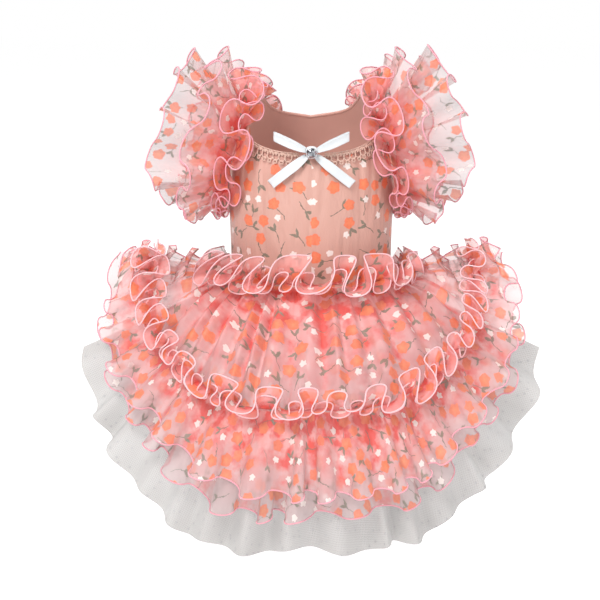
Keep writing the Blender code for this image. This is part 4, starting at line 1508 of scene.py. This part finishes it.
def make_closure():
    """Make the plain closed strip down the belly side, with its two long edges pressed down."""
    width, length, wall, stitch_depth = 0.012, 0.088, 0.001, 0.0004
    u = np.linspace(-0.5, 0.5, 13)[:, None]
    v = np.linspace(0, 1, 60)[None, :]
    height = BODICE_DROP + length * v
    turn = math.pi + np.arcsin(width * u / half_sizes(height)[0])
    lift = BODICE_WALL / 2 + SEAM_GAP
    face = bodice_points(turn, height, lift + wall - stitch_depth * (np.abs(u) > 0.48))
    back = bodice_points(turn, height, lift)
    points = np.concatenate([face, back[:, ::-1], face[:, :1]], axis=1)
    flat = np.stack(np.broadcast_arrays(width * u, height), axis=-1)
    flats = np.concatenate([flat, flat[:, ::-1], flat[:, :1]], axis=1)
    mesh = sheet_mesh("closure_strip", points, flats, closed=True)
    work = bmesh.new()
    work.from_mesh(mesh)
    bmesh.ops.holes_fill(work, edges=[e for e in work.edges if e.is_boundary])
    bmesh.ops.triangulate(work, faces=[f for f in work.faces if len(f.verts) > 4])
    work.to_mesh(mesh)
    work.free()
    strip = new_piece("closure_strip", mesh, finish_named("satin"), "satin", "closure_placket")


def make_lace(side, word):
    """Make the crochet edging: two chains along the neckline, with loops and picots under them."""
    loops, thread_radius, waviness = 11, 0.00038, 0.00015
    spread = LACE_END - LACE_START

    def on_lace(share, rise, proud=0.0):
        """Give points at shares along the edging, by their rise from the neckline."""
        turn = side * (LACE_START + spread * share)
        lift = BODICE_WALL / 2 + SEAM_GAP + 0.0006 + proud
        return bodice_points(turn, neck_height(turn) + rise, lift)

    share = np.linspace(0, 1, 90)
    lines = [
        on_lace(share, 0.0021 + waviness * np.sin(share * 190)),
        on_lace(share, 0.0009 + waviness * np.sin(share * 190 + 2), 0.0002),
    ]
    angle = np.linspace(0, 2 * math.pi, 22, endpoint=False)
    t = np.linspace(0, 1, 6)
    wide = 0.5 / loops
    for k in range(loops):
        centre = (k + 0.5) / loops
        loop = on_lace(centre + wide * np.cos(angle), -0.0012 + 0.0025 * np.sin(angle))
        small = centre + wide * 0.5 * np.cos(angle)
        picot = on_lace(small, -0.0044 + 0.0011 * np.sin(angle), 0.0001)
        lines += [np.concatenate([ring, ring[:1]]) for ring in (loop, picot)]
        for slant in (-1, 1):
            lines.append(on_lace(centre + wide * slant * 0.5 * t, -0.0002 + 0.0020 * t, 0.0003))
    name = "neck_lace_" + word
    mesh = tube_mesh(name + "_crochet", lines, thread_radius, 6)
    return new_piece(name + "_crochet", mesh, finish_named("crochet"), "crochet", name)


def thicken(piece, wall, offset):
    """Give a piece of ribbon its thickness."""
    solid = piece.modifiers.new("wall", "SOLIDIFY")
    solid.thickness = wall
    solid.offset = offset
    bake_modifiers(piece)
    return piece


def ribbon_piece(node, points, flat, wall, offset=0.0, closed=False):
    """Make a piece of the bow's ribbon from a grid of points."""
    mesh = sheet_mesh(node + "_satin", points, flat, closed=closed)
    piece = new_piece(node + "_satin", mesh, finish_named("ribbon"), "ribbon", node)
    return thicken(piece, wall, offset)


def make_tail(side, word, width):
    """Make one hanging tail of the bow."""
    u = np.linspace(0, 1, 40)[:, None]
    v = np.linspace(-0.5, 0.5, 11)[None, :]
    slope = math.atan2(TAIL_DROP, TAIL_REACH)
    pinch = 0.55 + 0.45 * np.clip(u * 3.0, 0, 1) ** 0.7
    across = width * v * pinch
    along = BOW_START + (TAIL_REACH - BOW_START) * u
    x = along + across * math.sin(slope)
    height = BOW_HEIGHT - TAIL_DROP * along / TAIL_REACH + across * math.cos(slope)
    curl = 0.0012 * np.sin(u * 5.0 + side) * u + 0.0006 * (2 * v) ** 2
    points = front_points(side * x, height, TAIL_LEVEL + curl)
    flat = np.stack(np.broadcast_arrays(along, width * v), axis=-1)
    return ribbon_piece("bow_tail_" + word, points, flat, RIBBON_WALL)


def make_loop(side, word, width):
    """Make one loop of the bow."""
    angle = 2 * math.pi * np.linspace(0, 1, 61)[:, None]
    v = np.linspace(-0.5, 0.5, 11)[None, :]
    bulge = np.sign(np.cos(angle)) * np.abs(np.cos(angle)) ** 0.6
    fill = np.sign(np.sin(angle)) * np.abs(np.sin(angle)) ** 0.55
    along = BOW_START + (LOOP_REACH - BOW_START) * (0.5 - 0.5 * bulge)
    puff = LOOP_PUFF * (0.5 - 0.5 * fill)
    pinch = 0.5 + 0.5 * np.clip((along - BOW_START) / 0.008, 0, 1) ** 0.7
    across = width * v * pinch
    cup = 0.0007 * (2 * v) ** 2
    cup = cup * np.sin(math.pi * (along - BOW_START) / (LOOP_REACH - BOW_START))
    height = BOW_HEIGHT + LOOP_RISE * along / LOOP_REACH + across
    points = front_points(side * along, height, LOOP_LEVEL + puff + cup)
    run = lengths_along(points[:, 5])[:, None]
    flat = np.stack(np.broadcast_arrays(run, width * v), axis=-1)
    return ribbon_piece("bow_loop_" + word, points, flat, RIBBON_WALL)


def make_knot(centre):
    """Make the knot, wrapped round the bow's middle."""
    half_width, half_height = 0.0032, 0.0037
    angle = np.linspace(0, 2 * math.pi, 49)[:, None]
    v = np.linspace(-1, 1, 17)[None, :]
    roll = 1 - 0.18 * v**2
    x = half_width * v * (1 + 0.12 * np.cos(2 * angle))
    y = -(KNOT_DEPTH / 2 + SEAM_GAP) - (KNOT_DEPTH / 2 - 0.0003) * np.cos(angle) * roll
    z = half_height * np.sin(angle) * roll + 0.0001 * np.sin(v * 14)
    points = centre + stack(x, y, z)
    flat = np.stack(np.broadcast_arrays(angle * 0.0035, v * half_width), axis=-1)
    return ribbon_piece("bow_knot", points, flat, KNOT_WALL, -1.0, True)


def make_bow(sizes):
    """Make the ribbon bow: two tails, two loops and a knot. Give its middle and its pieces."""
    pieces = []
    for side, word in ((-1, "left"), (1, "right")):
        pieces.append(make_tail(side, word, sizes.ribbon_width))
        pieces.append(make_loop(side, word, sizes.ribbon_width))
    centre = front_points(0.0, BOW_HEIGHT, 0.0)
    pieces.append(make_knot(centre))
    return centre, pieces


def stone_spot(centre, angle, share, rise):
    """Give a place round the stone, at a share of its radius and a rise over its back."""
    back = KNOT_DEPTH + SEAM_GAP + 0.0003
    return (
        centre[0] + STONE_RADIUS * share * math.cos(angle),
        centre[1] - back - rise,
        centre[2] + STONE_RADIUS * share * math.sin(angle),
    )


def make_stone(centre):
    """Make the faceted stone and its claw setting."""
    work = bmesh.new()
    rows = []
    for share, rise, turn in STONE_RINGS:
        angles = [2 * math.pi * (k + turn) / STONE_SIDES for k in range(STONE_SIDES)]
        rows.append([work.verts.new(stone_spot(centre, angle, share, rise)) for angle in angles])
    for a, b, cut in zip(rows, rows[1:], STONE_BANDS):
        for k in range(STONE_SIDES):
            n = (k + 1) % STONE_SIDES
            facets = {
                "square": [(a[k], a[n], b[n], b[k])],
                "leaning on": [(a[k], a[n], b[k]), (a[n], b[n], b[k])],
                "leaning back": [(a[k], b[n], b[k]), (a[k], a[n], b[n])],
            }
            for corners in facets[cut]:
                work.faces.new(corners)
    work.faces.new(rows[0])
    work.faces.new(rows[-1])
    bmesh.ops.recalc_face_normals(work, faces=work.faces)
    mesh = bpy.data.meshes.new("stone")
    work.to_mesh(mesh)
    work.free()
    crystal = finish_named("crystal")
    stone = new_piece("rhinestone_crystal", mesh, crystal, "crystal", "rhinestone")

    wire_radius, ring_share, ring_rise = 0.00032, 1.03, 0.0003
    lines = []
    for k in range(4):
        angle = math.pi / 4 + k * math.pi / 2
        lines.append([stone_spot(centre, angle, share, rise) for share, rise in CLAW])
    angles = [2 * math.pi * k / 32 for k in range(33)]
    lines.append([stone_spot(centre, angle, ring_share, ring_rise) for angle in angles])
    mesh = tube_mesh("setting", lines, wire_radius, 8)
    return [stone, new_piece("rhinestone_setting", mesh, finish_named("metal"), "crystal")]


# Stage


def make_floor():
    """Make the plain pale floor under the dress."""
    drop, half = 0.02, 6.0
    span = np.array([-half, half])
    points = stack(span[:, None], span[None, :], CAD_BOX[0][2] - drop)
    mesh = sheet_mesh("floor", points, points[..., :2])
    floor = bpy.data.objects.new("floor", mesh)
    bpy.context.scene.collection.objects.link(floor)
    mesh.materials.append(finish_named("stage"))


def make_camera(scene):
    """Make the camera, which frames the dress as the photograph does."""
    back = Vector((0, -math.cos(CAMERA_RISE), math.sin(CAMERA_RISE)))
    up = Vector((0, math.sin(CAMERA_RISE), math.cos(CAMERA_RISE)))
    aim = Vector((1, 0, 0)) * (PHOTO_CENTRE[0] - WAIST_PLACE[0]) * PIXEL
    aim = aim - up * (PHOTO_CENTRE[1] - WAIST_PLACE[1]) * PIXEL
    data = bpy.data.cameras.new("Camera")
    camera = bpy.data.objects.new("Camera", data)
    scene.collection.objects.link(camera)
    camera.location = aim + back * CAMERA_DISTANCE
    camera.rotation_euler = back.to_track_quat("Z", "Y").to_euler()
    data.sensor_width = SENSOR_WIDTH
    data.lens = SENSOR_WIDTH * CAMERA_DISTANCE / (PHOTO_WIDTH * PIXEL)
    scene.camera = camera


def make_lights(scene):
    """Make the soft lamps and the pale surroundings."""
    for name, place, size, power in LAMPS:
        data = bpy.data.lights.new(name, "AREA")
        data.size = size
        data.energy = power
        lamp = bpy.data.objects.new(name, data)
        scene.collection.objects.link(lamp)
        lamp.location = place
        lamp.rotation_euler = Vector(place).to_track_quat("Z", "Y").to_euler()
    world = bpy.data.worlds.new("Soft World")
    scene.world = world
    world.use_nodes = True
    tree = world.node_tree
    sky = tree.nodes["Background"]
    sky.inputs["Color"].default_value = (1, 1, 1, 1)
    rays = tree.nodes.new("ShaderNodeLightPath")
    strength = calc(tree, "MULTIPLY_ADD", rays.outputs["Is Camera Ray"], 1 - AMBIENT, AMBIENT)
    tree.links.new(strength, sky.inputs["Strength"])


def make_stage(scene):
    """Make the floor, the camera and the lights, and let light through all sheer layers."""
    sheer_layers = 40
    make_floor()
    make_camera(scene)
    make_lights(scene)
    scene.view_settings.view_transform = "Standard"
    scene.cycles.transparent_max_bounces = sheer_layers


# Operators


class DogDressOperator:
    """What the dress's operators share: each builds its pieces from the scene's sizes."""

    bl_options = {"REGISTER", "UNDO"}

    def execute(self, context):
        """Build the pieces from the scene's sizes."""
        self.build(context.scene.dog_dress_sizes)
        return {"FINISHED"}


class DOGDRESS_OT_skirt(DogDressOperator, bpy.types.Operator):
    """Build the tulle, both flounces and the overskirt"""

    bl_idname = "dog_dress.skirt"
    bl_label = "Skirt"

    def build(self, sizes):
        surface = SkirtSurface(sizes.skirt_length)
        make_tulle(surface, sizes)
        make_lower_flounce(surface, sizes)
        make_upper_flounce(surface, sizes)
        make_overskirt(surface, sizes)


class DOGDRESS_OT_ruffles(DogDressOperator, bpy.types.Operator):
    """Build the double-edged ruffles on the waist and the skirt"""

    bl_idname = "dog_dress.ruffles"
    bl_label = "Ruffles"

    def build(self, sizes):
        surface = SkirtSurface(sizes.skirt_length)
        make_waist_ruffle(surface, sizes)
        make_mid_ruffle(surface, sizes)


class DOGDRESS_OT_sleeves(DogDressOperator, bpy.types.Operator):
    """Build both sleeves and their shoulder frills"""

    bl_idname = "dog_dress.sleeves"
    bl_label = "Sleeves"

    def build(self, sizes):
        for side, word in ((-1, "left"), (1, "right")):
            make_sleeve(side, word, "outer", sizes)
            make_sleeve(side, word, "inner", sizes)
            make_shoulder_frill(side, word, sizes)


class DOGDRESS_OT_bodice(DogDressOperator, bpy.types.Operator):
    """Build the bodice, its closure, the neck edging and the bow with its stone"""

    bl_idname = "dog_dress.bodice"
    bl_label = "Bodice"

    def build(self, sizes):
        body = make_bodice_wall()
        cut_armholes(body)
        binding = make_neck_binding()
        make_closure()
        lace = [make_lace(-1, "left"), make_lace(1, "right")]
        centre, bow = make_bow(sizes)
        trim = [binding, *lace, *bow, *make_stone(centre)]


class DOGDRESS_OT_stage(DogDressOperator, bpy.types.Operator):
    """Build the floor, the lights and the camera"""

    bl_idname = "dog_dress.stage"
    bl_label = "Stage"

    def build(self, sizes):
        make_stage(bpy.context.scene)


class DOGDRESS_PT_panel(bpy.types.Panel):
    """Lists the dress's settings and builders"""

    bl_idname = "DOGDRESS_PT_panel"
    bl_label = "Dog Dress"
    bl_space_type = "VIEW_3D"
    bl_region_type = "UI"
    bl_category = "Dog Dress"

    def draw(self, context):
        """Draw the settings and the builders."""
        scene = context.scene
        for settings in (scene.dog_dress_sizes, scene.dog_dress_colours):
            box = self.layout.box()
            for name in settings.__annotations__:
                box.prop(settings, name)
        for operator in OPERATORS:
            self.layout.operator(operator.bl_idname)


OPERATORS = (
    DOGDRESS_OT_bodice,
    DOGDRESS_OT_sleeves,
    DOGDRESS_OT_ruffles,
    DOGDRESS_OT_skirt,
    DOGDRESS_OT_stage,
)
CLASSES = (DogDressSizes, DogDressColours, *OPERATORS, DOGDRESS_PT_panel)


def register():
    """Add the dress's classes and its settings."""
    for item in CLASSES:
        bpy.utils.register_class(item)
    bpy.types.Scene.dog_dress_sizes = bpy.props.PointerProperty(type=DogDressSizes)
    bpy.types.Scene.dog_dress_colours = bpy.props.PointerProperty(type=DogDressColours)


def unregister():
    """Remove the dress's settings and its classes."""
    del bpy.types.Scene.dog_dress_colours
    del bpy.types.Scene.dog_dress_sizes
    for item in reversed(CLASSES):
        bpy.utils.unregister_class(item)


def main():
    """Build the dress and its stage."""
    register()
    bpy.ops.dog_dress.bodice()
    bpy.ops.dog_dress.sleeves()
    bpy.ops.dog_dress.ruffles()
    bpy.ops.dog_dress.skirt()
    bpy.ops.dog_dress.stage()


if __name__ == "__main__":
    main()
